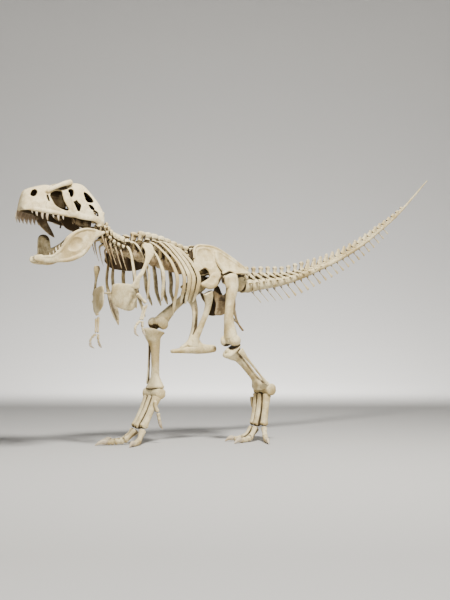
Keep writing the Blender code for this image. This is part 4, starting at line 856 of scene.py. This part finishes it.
def build_pelvis():
    for name, side in SIDES.items():
        place = hip_plane(side)
        shells = [pillow(ILIUM_BLADE, place, 0.030, 110, 3.5), pillow(PUBIC_LOBE, place, 0.062, 60, 2.6)]
        rim = ((0.00, 0.315, 3.17, 0.045, 0.035), (0.14, 0.315, 3.235, 0.05, 0.035), (0.29, 0.305, 3.18, 0.045, 0.035), (0.33, 0.295, 3.07, 0.04, 0.055))
        shells.append(sweep([(x, side * y, z, w, d) for x, y, z, w, d in rim], ACROSS, 14, 24, 2.2))
        ridge = ((0.10, 0.300, 3.20, 0.050, 0.060), (-0.03, 0.272, 3.32, 0.058, 0.042), (-0.08, 0.226, 3.47, 0.058, 0.036), (-0.06, 0.184, 3.62, 0.046, 0.036))
        shells.append(sweep([(x, side * y, z, w, d) for x, y, z, w, d in ridge], ACROSS, 14, 18))
        crest = ((-0.59, 3.42), (-0.55, 3.60), (-0.47, 3.685), (-0.30, 3.705), (-0.05, 3.685), (0.20, 3.575), (0.45, 3.43), (0.68, 3.28))
        rows = [(*place(np.array(((x, z),)), side * 0.006)[0], 0.032, 0.026) for x, z in crest]
        shells.append(sweep(rows, ACROSS, 12, 40, 2.2, (0.8, 0.8)))
        shelf = ((0.10, 3.225), (0.25, 3.195), (0.45, 3.215), (0.68, 3.225))
        rows = [(*place(np.array(((x, z),)), side * 0.012)[0], 0.042, 0.020) for x, z in shelf]
        shells.append(sweep(rows, ACROSS, 12, 24, 2.4, (0.8, 0.8)))
        hollows = [pillow(outline, lambda points, shift, s=side, out=out: place(points, s * out + shift), 0.050, 40, 3.2) for outline, out in ILIUM_HOLLOWS]
        grow("ilium_" + name, shells, ["ilium_" + name], grain=0.0066, rounding=4, rough=1.3, cuts=hollows, inner_shade=0.45)
    shells = []
    for side in SIDES.values():
        rows = (
            (-0.33, side * 0.31, 2.82, 0.05, 0.12), (-0.28, side * 0.27, 2.70, 0.045, 0.095), (-0.26, side * 0.20, 2.50, 0.042, 0.065),
            (-0.33, side * 0.11, 2.20, 0.040, 0.060), (-0.43, side * 0.045, 1.93, 0.048, 0.085), (-0.45, side * 0.03, 1.78, 0.045, 0.17),
        )
        shells.append(sweep(rows, ACROSS, 18, 40, 2.3, (0.3, 0.3)))
    for fillet in (((-0.46, 2.02), (-0.57, 1.86), (-0.74, 1.75)), ((-0.38, 1.98), (-0.28, 1.85), (-0.12, 1.785))):
        shells.append(sweep([(x, 0.0, z, 0.045, 0.036) for x, z in fillet], ACROSS, 14, 16))
    boot = (
        (-0.95, 1.705, 0.045, 0.034), (-0.80, 1.715, 0.065, 0.045), (-0.55, 1.735, 0.072, 0.07), (-0.38, 1.765, 0.075, 0.11),
        (-0.15, 1.755, 0.07, 0.088), (0.02, 1.76, 0.065, 0.072), (0.09, 1.765, 0.05, 0.060),
    )
    shells.append(sweep([(x, 0.0, z, wide, high) for x, z, wide, high in boot], ACROSS, 20, 44, 2.3, (0.7, 0.7)))
    grow("pubes", shells, ["pubes"], grain=0.0068, inner_shade=0.2)
    shells = []
    for side in SIDES.values():

        def leaning(points, shift, s=side):
            return np.column_stack((points[:, 0], s * (0.10 + 0.26 * (points[:, 1] - 2.38)) + shift, points[:, 1]))

        shells.append(pillow(ISCHIUM_PLATE, leaning, 0.020, 90, 2.6))
        rows = (
            (0.33, side * 0.22, 2.86, 0.035, 0.07), (0.40, side * 0.14, 2.60, 0.030, 0.050), (0.50, side * 0.085, 2.42, 0.024, 0.032),
            (0.62, side * 0.018, 2.28, 0.018, 0.018), (0.77, side * 0.014, 2.11, 0.016, 0.018),
        )
        shells.append(sweep(rows, ACROSS, 16, 30, 2.2, (0.5, 0.8)))
    grow("ischia", shells, ["ischia"], "stained", grain=0.0066, rough=2.0, inner_shade=0.35)


CORACOID_OUTLINE = (
    (0.02, 0.06), (0.05, 0.15), (0.18, 0.18), (0.42, 0.20), (0.56, 0.17), (0.585, 0.02), (0.57, -0.10), (0.50, -0.19), (0.27, -0.28),
    (0.10, -0.27), (0.02, -0.16),
)
CORACOID_FORWARD = 0.25
CORACOID_INWARD = 0.90
SHOULDER_HALF = 0.555
BLADE_HALF = 0.58
BLADE = (
    (0.26, 0.43, 0.91, 0.09), (0.27, 0.50, 0.78, 0.110), (0.16, 0.60, 0.59, 0.050), (0.03, 0.64, 0.38, 0.036),
    (-0.06, 0.62, 0.24, 0.048), (-0.08, 0.58, 0.08, 0.10),
)

# Reach up, breadth, lean back, place behind the shoulder and spread outwards of each shoulder blade.
BLADE_SET = {"left": (1.0, 1.0, 1.0, 0.0, 1.0), "right": (0.66, 0.55, 0.1, 0.06, 0.0)}


def build_shoulders():
    for name, side in SIDES.items():
        shoulder = SHOULDERS[name]
        reach, breadth, lean, behind, spread = BLADE_SET[name]
        rows = []
        for x, y, z, deep in BLADE:
            lateral = BLADE_HALF + (y - BLADE_HALF) * spread
            rows.append((shoulder[0] + x * lean + behind, side * lateral, shoulder[1] + z * reach, 0.021, deep * breadth))
        shells = [sweep(rows, ACROSS, 18, 40, 2.6, (0.35, 0.6))]

        def place(points, shift, s=side, centre=shoulder):
            lateral = SHOULDER_HALF - CORACOID_INWARD * points[:, 0]
            return np.column_stack((centre[0] - CORACOID_FORWARD * points[:, 0] + shift, s * lateral, centre[1] + points[:, 1]))

        shells.append(pillow(CORACOID_OUTLINE, place, 0.026, 64, 2.6))
        socket = pillow(((0.02, -0.02), (0.06, 0.06), (0.16, 0.05), (0.17, -0.06), (0.09, -0.10)), lambda points, shift: place(points, shift - 0.045), 0.038, 30, 2.0)
        grow("scapula_" + name, shells, ["scapula_" + name], grain=0.0060, cuts=[socket], inner_shade=0.12)
    furcula = ((-2.27, -0.09, 2.72, 0.016, 0.018), (-2.285, 0.0, 2.71, 0.018, 0.02), (-2.27, 0.09, 2.72, 0.016, 0.018))
    grow("furcula", [sweep(furcula, UP, 12, 16)], ["furcula"], grain=0.005)


# ---------------------------------------------------------------- limbs


def between(start, end, profile):
    """Rows for sweep: each profile row is (share of the way, bow along X, bow along Y, half width, half depth)."""
    start, end = np.asarray(start, float), np.asarray(end, float)
    return [(*(start + (end - start) * share + ALONG * bow_x + ACROSS * bow_y), width, depth) for share, bow_x, bow_y, width, depth in profile]


HUMERUS = ((0, 0, 0, 0.040, 0.036), (0.25, 0, 0, 0.034, 0.030), (0.6, 0, 0, 0.024, 0.022), (1, 0, 0, 0.038, 0.030))
FOREARM = ((0, 0, 0, 0.023, 0.024), (0.3, 0, 0, 0.016, 0.016), (0.7, 0, 0, 0.015, 0.015), (1, 0, 0, 0.021, 0.019))


# Each finger as (forward or back, height) from the wrist: two bones and a claw.
FINGERS = (
    ((-0.015, 0.0), (-0.055, -0.03), (-0.095, -0.07), (-0.118, -0.115), (-0.122, -0.155), (-0.110, -0.215), (-0.035, -0.265)),
    ((0.030, 0.0), (0.027, -0.05), (0.030, -0.105), (0.036, -0.135), (0.044, -0.165), (0.070, -0.215), (0.100, -0.255)),
)


def build_arms():
    for name, side in SIDES.items():
        shoulder, elbow, wrist = (np.array(joint) for joint in ARM_JOINTS[name])
        upper = unit(elbow - shoulder)
        shaft = sweep(between(shoulder + upper * 0.02, elbow - upper * 0.008, HUMERUS), ACROSS, 16, 20, 2.2, (0.6, 0.6))
        grow("humerus_" + name, [shaft], ["humerus_" + name], grain=0.004)
        fore = unit(wrist - elbow)
        apart = ALONG * 0.022
        start, end = elbow + fore * 0.045, wrist - fore * 0.02
        grow("ulna_" + name, [sweep(between(start - fore * 0.03 + apart, end + apart, FOREARM), ACROSS)], ["ulna_" + name], grain=0.0035)
        grow("radius_" + name, [sweep(between(start - apart, end - apart, FOREARM), ACROSS)], ["radius_" + name], grain=0.0035)
        for number, path in enumerate(FINGERS, 1):
            places = [wrist + np.array((x, 0.0, z)) for x, z in path]
            node = f"finger_{number}_{name}"
            shells = []
            for (start, middle, end), size in zip((places[0:3], places[2:5]), (0.027, 0.024)):
                shells.append(sweep([(*start, size, size), (*middle, size * 0.68, size * 0.76), (*end, size, size)], ACROSS, 14, 16))
            nail = [(*places[4], 0.018, 0.024), (*places[5], 0.015, 0.021), (*places[6], 0.003, 0.004)]
            grow(node, shells, [node], "digit", grain=0.003)
            cast(f"finger_claw_{number}_{name}", [sweep(nail, ACROSS, 14, 18, 2.0, (0.3, 1.0))], [node], "claw")


FEMUR_SHAFT = (
    (0.00, 0.03, 0.0, 0.070, 0.085), (0.05, 0.03, 0.0, 0.090, 0.110), (0.18, 0.035, 0.0, 0.092, 0.125), (0.30, 0.005, 0.0, 0.088, 0.110),
    (0.46, -0.03, 0.0, 0.080, 0.082), (0.66, -0.05, 0.0, 0.088, 0.086), (0.82, -0.02, 0.0, 0.120, 0.108), (0.95, 0.0, 0.0, 0.150, 0.118),
)
TIBIA_SHAFT = (
    (0.00, -0.03, 0.0, 0.165, 0.205), (0.04, -0.04, 0.0, 0.170, 0.215), (0.13, -0.04, 0.0, 0.120, 0.155), (0.26, -0.01, 0.0, 0.082, 0.092),
    (0.55, 0.0, 0.0, 0.072, 0.072), (0.76, 0.0, 0.0, 0.082, 0.072), (0.88, 0.0, 0.0, 0.165, 0.092), (0.95, 0.0, 0.0, 0.222, 0.122), (1.00, 0.0, 0.0, 0.222, 0.118),
)
METATARSAL = (
    (0.0, 0, 0, 0.064, 0.092), (0.12, 0, 0, 0.062, 0.078), (0.45, 0, 0, 0.061, 0.056), (0.8, 0, 0, 0.061, 0.060),
    (0.93, 0, 0, 0.068, 0.076), (1.0, 0, 0, 0.060, 0.066),
)
FIBULA = ((0.0, 0, 0, 0.024, 0.070), (0.08, 0, 0, 0.024, 0.062), (0.25, 0, 0, 0.021, 0.032), (0.7, 0, 0, 0.018, 0.022), (1.0, 0, 0, 0.028, 0.036))
ROLLER = ((-0.215, 0.070), (-0.185, 0.105), (-0.05, 0.105), (0.0, 0.092), (0.06, 0.102), (0.16, 0.112), (0.24, 0.112), (0.27, 0.07))
BALL_OF_FOOT = {"ii": (0.03, -0.14, 0.01), "iii": (0.0, 0.0, 0.0), "iv": (0.05, 0.155, 0.01)}

# How far the lower end of each femur stands behind the middle of its knee.
FEMUR_END = {"left": 0.0, "right": -0.045}


def build_legs():
    for name, side in SIDES.items():
        hip, knee, ankle, foot = (np.array(joint) for joint in LEG_JOINTS[name])
        thigh, shank = unit(knee - hip), unit(ankle - knee)
        outer = ACROSS * side
        top = hip + outer * 0.16 - thigh * 0.11
        low = knee - thigh * 0.075 + ALONG * FEMUR_END[name]
        head = [(*(hip - outer * 0.075), 0.06, 0.06), (*(hip - outer * 0.02), 0.098, 0.098), (*(hip + outer * 0.06), 0.088, 0.09), (*(hip + outer * 0.15), 0.085, 0.10)]
        shells = [
            sweep(between(top, low, FEMUR_SHAFT), ACROSS, 22, 44, 2.3, (0.5, 0.3)),
            sweep(head, ALONG, 18, 18, 2.1, (1.0, 0.4)),
        ]
        lesser = [(*(top + (low - top) * share - ALONG * out + outer * 0.03), 0.032, 0.05) for share, out in ((0.04, 0.10), (0.12, 0.125), (0.22, 0.09))]
        shells.append(sweep(lesser, ACROSS, 12, 14))
        bridge = [(*(low - thigh * 0.065 + ACROSS * shift), 0.104, 0.104) for shift in (-0.09, 0.0, 0.09)]
        shells.append(sweep(bridge, thigh, 18, 12, 2.1, (0.5, 0.5)))
        for lateral in (-0.100, 0.100):
            centre = low - thigh * 0.043 + ACROSS * lateral - ALONG * lateral * 0.30
            rows = [(*(centre + ACROSS * shift), size, size * 1.14) for shift, size in ((-0.07, 0.086), (0.0, 0.111), (0.07, 0.086))]
            shells.append(sweep(rows, thigh, 20, 14, 2.1, (0.6, 0.6)))
        grow("femur_" + name, shells, ["femur_" + name], grain=0.0070, rounding=5, rough=1.4)

        shaft = between(knee + shank * 0.035, ankle - shank * 0.040, TIBIA_SHAFT)
        crest = between(knee + shank * 0.06, knee + shank * 0.36, ((0, -0.17, 0.0, 0.05, 0.055), (0.35, -0.15, 0.02 * side, 0.042, 0.055), (1.0, -0.06, 0.03 * side, 0.03, 0.03)))
        grow("tibia_" + name, [sweep(shaft, ACROSS, 22, 44, 2.3, (0.25, 0.2)), sweep(crest, ACROSS, 12, 16)], ["tibia_" + name], grain=0.0068, rounding=5, rough=1.4)
        fibula = between(knee + shank * 0.08 + outer * 0.190 + ALONG * 0.01, ankle - shank * 0.135 + outer * 0.235, FIBULA)
        grow("fibula_" + name, [sweep(fibula, ACROSS, 14, 36, 2.2, (0.4, 0.5))], ["fibula_" + name], grain=0.005)
        rows = [(*(ankle + shank * 0.030 + outer * shift), size, size) for shift, size in ROLLER]
        grow("ankle_" + name, [sweep(rows, ALONG, 22, 26, 2.3, (0.4, 0.4))], ["ankle_" + name], grain=0.0055)

        for number, (toe, (back, out, rise)) in enumerate(BALL_OF_FOOT.items()):
            end = foot + np.array((back, side * out, rise))
            start = ankle + outer * (number - 1) * 0.122 + unit(end - ankle) * 0.105
            node = f"metatarsal_{toe}_{name}"
            shells = [sweep(between(start, end, METATARSAL), ACROSS, 18, 34, 2.4, (0.3, 0.6))]
            for bulge in (-0.032, 0.032):
                knob = end - unit(end - start) * 0.05 + ACROSS * bulge
                shells.append(ball(knob, (0.062, 0.034, 0.060)))
            grow(node, shells, [node], grain=0.0052)
            build_toe(toe, name, end, side, TOE_HEADINGS[name][number], TOE_REACH[number], number == 1)
        build_hallux(name, side, ankle, foot)


# Shares of a toe's reach where its bones meet; the last stretch is the claw.
TOE_JOINTS = {"ii": (0.015, 0.42, 0.70), "iii": (0.015, 0.33, 0.55, 0.72), "iv": (0.015, 0.27, 0.44, 0.58, 0.72)}
TOE_LINE = ((0.0, 0.97), (0.12, 0.66), (0.26, 0.34), (0.40, 0.215), (0.72, 0.17))
CLAW_LINE = ((0.70, 0.056, 0.046), (0.80, 0.066, 0.044), (0.91, 0.044, 0.027), (1.0, 0.006, 0.005))


def build_toe(toe, name, knuckle, side, heading, reach, middle):
    """A toe: waisted bones that come down to the floor and rest on their knuckles, then a hooked claw."""
    angle = math.radians(heading)
    ahead = np.array((-math.cos(angle), side * math.sin(angle), 0.0))
    across = np.cross(UP, ahead)
    flat = np.array((knuckle[0], knuckle[1], 0.0))
    high = knuckle[2] - 0.012
    size = 1.0 if middle else 0.93
    joints = TOE_JOINTS[toe]
    shells = []
    for number, (start, end) in enumerate(zip(joints, joints[1:])):
        shrink = size * (1 - 0.10 * number)
        rows = []
        for share, wide, deep in ((0.0, 1.0, 1.15), (0.16, 0.98, 1.05), (0.5, 0.72, 0.74), (0.84, 0.92, 0.95), (1.0, 0.88, 0.98)):
            at = start + (end - start) * share
            height = high * np.interp(at, *np.array(TOE_LINE).T)
            rows.append((*(flat + ahead * reach * at + UP * max(height, 0.052 * shrink * deep)), 0.062 * wide * shrink, 0.060 * deep * shrink))
        shells.append(sweep(rows, across, 18, 18, 2.5, (0.55, 0.7)))
    points, faces = gather(shells)
    points[:, 2] = np.maximum(points[:, 2], 0.004)
    node = f"toe_{toe}_{name}"
    grow(node, [(points, faces)], [node], "digit", grain=0.0048)
    nail = [(*(flat + ahead * reach * share + UP * height), wide * size * 0.85, wide * size * 1.1) for share, height, wide in CLAW_LINE]
    points, faces = sweep(nail, across, 18, 26, 2.1, (0.35, 1.0))
    points[:, 2] = np.maximum(points[:, 2], 0.001)
    cast(f"claw_{toe}_{name}", [(points, faces)], [node], "claw")


def build_hallux(name, side, ankle, foot):
    """The first toe: it hangs behind the inner side of the metatarsus, its claw turned back."""
    start = ankle * 0.70 + foot * 0.30 - ACROSS * side * 0.22 - ALONG * 0.045

    def rows_of(table):
        return [(*(start + np.array((x, -y * side, z))), size, size) for x, y, z, size in table]

    first = rows_of(((0.0, 0.0, 0.05, 0.044), (0.015, 0.01, -0.06, 0.031), (0.06, 0.02, -0.17, 0.042)))
    second = rows_of(((0.062, 0.02, -0.18, 0.040), (0.08, 0.02, -0.26, 0.028), (0.095, 0.02, -0.33, 0.036)))
    nail = rows_of(((0.095, 0.02, -0.325, 0.033), (0.115, 0.018, -0.40, 0.029), (0.145, 0.01, -0.455, 0.018), (0.19, 0.0, -0.49, 0.003)))
    grow("toe_i_" + name, [sweep(first, ACROSS), sweep(second, ACROSS)], ["toe_i_" + name], "digit", grain=0.004)
    cast("claw_i_" + name, [sweep(nail, ACROSS, 14, 20, 2.0, (0.3, 1.0))], ["toe_i_" + name], "claw")


# ---------------------------------------------------------------- painted shade: how much bone stands close in front of each place

PAINTED_SHADE_CELL = 0.035
PAINTED_SHADE_REACH = ((0.04, 1, 0.22), (0.09, 2, 0.30), (0.18, 4, 0.34), (0.40, 12, 0.30))


def blurred(field, times):
    """Each pass mixes every cell with its neighbours by 1-2-1 along all three axes."""
    for _ in range(times):
        for axis in range(3):
            field = (np.roll(field, 1, axis) + 2 * field + np.roll(field, -1, axis)) / 4
    return field


def mark_painted_shade():
    """Stores on every point, as painted shade, how much bone stands close in front of it, from 0 in the open
    to 1 in a deep hollow: the blurred amount of bone surface per cell, read a little way out along the normal.
    The painted shade of inner faces is added to it."""
    data = [vertex_data(thing.data) for thing in pieces]
    low = np.array(CAD_BOX[0]) - 0.5
    size = np.ceil((np.array(CAD_BOX[1]) + 0.5 - low) / PAINTED_SHADE_CELL).astype(int)
    field = np.zeros(size)
    for thing, (points, _) in zip(pieces, data):
        area = sum_area(thing.data) / len(points)
        cells = ((points - low) / PAINTED_SHADE_CELL).astype(int)
        np.add.at(field, tuple(cells.T), area / PAINTED_SHADE_CELL**2)
    layers = [(reach, weight, blurred(field, times)) for reach, times, weight in PAINTED_SHADE_REACH]
    for thing, (points, normals) in zip(pieces, data):
        total = np.zeros(len(points))
        for reach, weight, layer in layers:
            cells = ((points + normals * (reach + PAINTED_SHADE_CELL) - low) / PAINTED_SHADE_CELL).astype(int)
            cells = np.clip(cells, 0, size - 1)
            total += weight * np.minimum(1.0, layer[tuple(cells.T)] * 3.0)
        # Painted shade: the nearness of bone plus the inner-face shade marked by keep().
        inner_face_shade = np.empty(len(points), np.float32)
        thing.data.attributes["inner_face_shade"].data.foreach_get("value", inner_face_shade)
        mark = thing.data.attributes.new("painted_shade", "FLOAT", "POINT")
        mark.data.foreach_set("value", (total + inner_face_shade).astype(np.float32))


def sum_area(mesh):
    area = np.empty(len(mesh.polygons), np.float32)
    mesh.polygons.foreach_get("area", area)
    return float(area.sum())


# ---------------------------------------------------------------- finishes


class Nodes:
    """Short hand for wiring a node tree: node() makes a node, link() joins two sockets."""

    def __init__(self, tree):
        self.tree = tree

    def node(self, kind, **settings):
        made = self.tree.nodes.new("ShaderNode" + kind)
        for key, value in settings.items():
            setattr(made, key, value)
        return made

    def link(self, source, target):
        self.tree.links.new(source, target)

    def fill(self, node, **values):
        for key, value in values.items():
            socket = node.inputs[key.replace("_", " ")]
            if isinstance(value, bpy.types.NodeSocket):
                self.link(value, socket)
            else:
                socket.default_value = value
        return node

    def noise(self, vector, scale, detail=3.0, roughness=0.55):
        made = self.fill(self.node("TexNoise"), Scale=scale, Detail=detail, Roughness=roughness, Vector=vector)
        return made.outputs["Fac"]

    def ramp(self, value, low, high, start=0.0, end=1.0):
        made = self.node("MapRange", interpolation_type="SMOOTHSTEP")
        made.inputs["Value"].default_value = 0.0
        self.link(value, made.inputs["Value"])
        made.inputs["From Min"].default_value = low
        made.inputs["From Max"].default_value = high
        made.inputs["To Min"].default_value = start
        made.inputs["To Max"].default_value = end
        return made.outputs["Result"]

    def maths(self, operation, first, second):
        made = self.node("Math", operation=operation)
        for socket, value in zip(made.inputs, (first, second)):
            if isinstance(value, bpy.types.NodeSocket):
                self.link(value, socket)
            else:
                socket.default_value = value
        return made.outputs[0]

    def mix(self, share, first, second, blend="MIX"):
        made = self.node("Mix", data_type="RGBA", blend_type=blend)
        sockets = {socket.identifier: socket for socket in made.inputs}
        for key, value in (("Factor_Float", share), ("A_Color", first), ("B_Color", second)):
            if isinstance(value, bpy.types.NodeSocket):
                self.link(value, sockets[key])
            elif isinstance(value, (int, float)):
                sockets[key].default_value = value
            else:
                sockets[key].default_value = (*value, 1.0)
        return [socket for socket in made.outputs if socket.identifier == "Result_Color"][0]


def patina_group():
    """Fossil patina with painted light: pale bone with tan clouds and fine streaks, painted shade in deep brown
    where bone stands close in front and on inner faces, a painted top light that makes up-facing faces paler,
    pits and hairline cracks for the bump."""
    group = bpy.data.node_groups.new("fossil_patina", "ShaderNodeTree")
    for name, kind in (("Pale", "Color"), ("Tan", "Color"), ("Deep", "Color"), ("Cloud Scale", "Float"), ("Depth", "Float")):
        group.interface.new_socket(name, in_out="INPUT", socket_type="NodeSocket" + kind)
    for name, kind in (("Color", "Color"), ("Roughness", "Float"), ("Height", "Float")):
        group.interface.new_socket(name, in_out="OUTPUT", socket_type="NodeSocket" + kind)
    g = Nodes(group)
    put_in, put_out = group.nodes.new("NodeGroupInput"), group.nodes.new("NodeGroupOutput")
    place = g.node("TexCoord").outputs["Object"]
    scaled = g.node("VectorMath", operation="SCALE")
    g.link(place, scaled.inputs[0])
    g.link(put_in.outputs["Cloud Scale"], scaled.inputs["Scale"])
    cloud = g.noise(scaled.outputs[0], 2.2, 4.0, 0.6)
    blotch = g.noise(scaled.outputs[0], 9.0, 3.0, 0.6)
    fine = g.noise(scaled.outputs[0], 42.0, 4.0, 0.65)
    grit = g.noise(scaled.outputs[0], 160.0, 2.0, 0.6)
    crack = g.fill(g.node("TexVoronoi", feature="DISTANCE_TO_EDGE"), Scale=7.0, Vector=scaled.outputs[0]).outputs["Distance"]
    thin_crack = g.maths("MULTIPLY", g.ramp(crack, 0.0, 0.018, 1.0, 0.0), g.ramp(blotch, 0.52, 0.62))
    painted_shade = g.node("Attribute", attribute_name="painted_shade").outputs["Fac"]
    facing = g.node("SeparateXYZ")
    g.link(g.node("NewGeometry").outputs["Normal"], facing.inputs[0])
    # Painted top light: faces turned up are mixed towards Pale, as if lit from above.
    painted_top_light = g.ramp(facing.outputs["Z"], -0.35, 0.85)

    colour = g.mix(g.ramp(cloud, 0.38, 0.62), put_in.outputs["Pale"], put_in.outputs["Tan"])
    colour = g.mix(g.maths("MULTIPLY", g.ramp(blotch, 0.42, 0.68), 0.55), colour, put_in.outputs["Tan"])
    colour = g.mix(g.maths("MULTIPLY", g.ramp(fine, 0.42, 0.75), 0.26), colour, put_in.outputs["Deep"])
    colour = g.mix(g.maths("MULTIPLY", painted_top_light, 0.45), colour, put_in.outputs["Pale"])
    # Painted shade in the Deep colour, its edge broken up by the blotch noise, as strong as Depth.
    stained = g.maths("ADD", painted_shade, g.maths("MULTIPLY", g.maths("SUBTRACT", blotch, 0.5), 0.35))
    stained = g.maths("MULTIPLY", g.ramp(stained, 0.16, 0.58), put_in.outputs["Depth"])
    colour = g.mix(stained, colour, put_in.outputs["Deep"])
    colour = g.mix(g.maths("MULTIPLY", thin_crack, 0.55), colour, put_in.outputs["Deep"])
    g.link(colour, put_out.inputs["Color"])

    rough = g.maths("ADD", g.ramp(fine, 0.3, 0.7, 0.58, 0.78), g.maths("MULTIPLY", painted_shade, 0.12))
    g.link(rough, put_out.inputs["Roughness"])
    height = g.maths("ADD", g.maths("MULTIPLY", fine, 0.6), g.maths("MULTIPLY", grit, 0.25))
    height = g.maths("SUBTRACT", height, g.maths("MULTIPLY", thin_crack, 0.8))
    g.link(height, put_out.inputs["Height"])
    return group


PATINA = patina_group()


def finish(name, pale, tan, deep, cloud_scale, depth, bump, specular):
    made = bpy.data.materials.new(name)
    made.use_nodes = True
    n = Nodes(made.node_tree)
    shader = made.node_tree.nodes["Principled BSDF"]
    shader.inputs["Specular IOR Level"].default_value = specular
    patina = made.node_tree.nodes.new("ShaderNodeGroup")
    patina.node_tree = PATINA
    for key, value in (("Pale", (*pale, 1)), ("Tan", (*tan, 1)), ("Deep", (*deep, 1)), ("Cloud Scale", cloud_scale), ("Depth", depth)):
        patina.inputs[key].default_value = value
    n.link(patina.outputs["Color"], shader.inputs["Base Color"])
    n.link(patina.outputs["Roughness"], shader.inputs["Roughness"])
    raised = n.fill(n.node("Bump"), Strength=bump, Distance=0.006, Height=patina.outputs["Height"])
    n.link(raised.outputs["Normal"], shader.inputs["Normal"])
    return made


FINISHES = {
    "bone": finish("fossil_bone", (0.79, 0.68, 0.41), (0.47, 0.345, 0.15), (0.055, 0.034, 0.013), 1.0, 0.97, 0.55, 0.30),
    "skull": finish("fossil_skull", (0.82, 0.71, 0.44), (0.50, 0.37, 0.17), (0.042, 0.026, 0.011), 1.3, 0.98, 0.50, 0.32),
    "digit": finish("fossil_digit", (0.80, 0.69, 0.42), (0.47, 0.35, 0.16), (0.060, 0.038, 0.015), 1.8, 0.9, 0.50, 0.30),
    # A darker copy of the bone finish, painted shade for parts that lie in shadow: vertebral bodies, neck ribs, the
    # bones inside the skull, the ischia and the sheet between the ribs.
    "stained": finish("shaded_bone", (0.56, 0.44, 0.25), (0.25, 0.165, 0.075), (0.040, 0.023, 0.009), 1.4, 0.98, 0.60, 0.28),
    "tooth": finish("fossil_enamel", (0.78, 0.69, 0.50), (0.50, 0.38, 0.23), (0.12, 0.075, 0.040), 4.0, 0.80, 0.20, 0.50),
    "claw": finish("fossil_claw", (0.66, 0.56, 0.40), (0.44, 0.34, 0.21), (0.10, 0.065, 0.035), 4.0, 0.80, 0.30, 0.45),
}


def paint():
    for thing in pieces:
        thing.data.materials.clear()
        thing.data.materials.append(FINISHES[thing["finish"]])


# ---------------------------------------------------------------- floor, light and camera

VIEW_ANGLE = math.radians(38.0)
VIEW_DISTANCE = 16.7
EYE_HEIGHT = 1.62
FOCAL_PIXELS = 872.0
FRAME_HEIGHT = 600.0
TILT_PIXELS = 56.0
ASIDE_PIXELS = -13.0


def plain(name, colour, roughness):
    made = bpy.data.materials.new(name)
    made.use_nodes = True
    shader = made.node_tree.nodes["Principled BSDF"]
    shader.inputs["Base Color"].default_value = (*colour, 1)
    shader.inputs["Roughness"].default_value = roughness
    return made


def build_stage():
    """A pale floor that runs up into a backdrop all round, as a shallow dish far from the skeleton."""
    bend = np.linspace(0, np.pi / 2, 14)[1:]
    radius = np.concatenate((np.linspace(0.0, 26.0, 8), 26.0 + 34.0 * np.sin(bend)))
    height = np.concatenate((np.zeros(8), 34.0 * (1 - np.cos(bend))))
    angle = np.arange(64) * 2 * np.pi / 64
    rings = np.stack((radius[:, None] * np.cos(angle), radius[:, None] * np.sin(angle), np.repeat(height[:, None], 64, 1)), -1)
    index = np.arange(len(radius) * 64).reshape(len(radius), 64)
    here, beside = index[:-1], np.roll(index[:-1], -1, 1)
    faces = np.stack((here, index[1:], np.roll(index[1:], -1, 1), beside), -1).reshape(-1, 4)
    floor = bpy.data.objects.new("floor", new_mesh("floor", rings.reshape(-1, 3), faces))
    bpy.context.scene.collection.objects.link(floor)
    floor.data.shade_smooth()
    floor.data.materials.append(plain("pale_floor", (0.50, 0.49, 0.47), 0.9))


def build_light(name, place, aim, size, watts, colour):
    lamp = bpy.data.lights.new(name, "AREA")
    lamp.shape = "DISK"
    lamp.size = size
    lamp.energy = watts
    lamp.color = colour
    thing = bpy.data.objects.new(name, lamp)
    bpy.context.scene.collection.objects.link(thing)
    place, aim = np.array(place, float), np.array(aim, float)
    thing.location = place
    thing.rotation_euler = Vector(aim - place).to_track_quat("-Z", "Y").to_euler()


def build_camera():
    away = np.array((math.sin(VIEW_ANGLE), math.cos(VIEW_ANGLE), 0.0))
    aside = np.array((math.cos(VIEW_ANGLE), -math.sin(VIEW_ANGLE), 0.0))
    place = MOUNT_SHIFT - away * VIEW_DISTANCE - aside * (ASIDE_PIXELS / FOCAL_PIXELS * VIEW_DISTANCE) + UP * EYE_HEIGHT
    lens = bpy.data.cameras.new("camera")
    lens.sensor_fit = "VERTICAL"
    lens.sensor_height = 36.0
    lens.lens = 36.0 * FOCAL_PIXELS / FRAME_HEIGHT
    lens.clip_end = 200.0
    thing = bpy.data.objects.new("camera", lens)
    bpy.context.scene.collection.objects.link(thing)
    thing.location = place
    thing.rotation_euler = (math.pi / 2 + math.atan(TILT_PIXELS / FOCAL_PIXELS), 0.0, -VIEW_ANGLE)
    bpy.context.scene.camera = thing


def build_studio():
    build_stage()
    build_camera()
    centre = (0.0, 0.0, 3.0)
    build_light("key", (-4.5, -7.0, 13.0), centre, 2.5, 4700.0, (1.0, 0.98, 0.93))
    build_light("fill", (-9.0, -12.0, 4.0), centre, 8.0, 130.0, (1.0, 0.96, 0.90))
    build_light("back", (5.0, 10.0, 11.0), centre, 6.0, 300.0, (0.97, 0.98, 1.0))
    for number in range(4):
        turn = VIEW_ANGLE + number * math.pi / 2
        away = np.array((math.sin(turn), math.cos(turn), 0.0))
        build_light(f"wash_{number}", away * 20.0 + UP * 16.0, away * 42.8 + UP * 2.0, 14.0, 18000.0, (1.0, 0.99, 0.97))
    world = bpy.data.worlds.new("studio")
    bpy.context.scene.world = world
    world.use_nodes = True
    sky = world.node_tree.nodes["Background"]
    sky.inputs["Color"].default_value = (0.95, 0.96, 1.0, 1)
    sky.inputs["Strength"].default_value = 0.12


build_cranium()
build_mandible()
build_neck()
build_trunk()
build_sacrum()
build_tail()
build_pelvis()
build_shoulders()
build_arms()
build_legs()
mark_painted_shade()
paint()
build_studio()
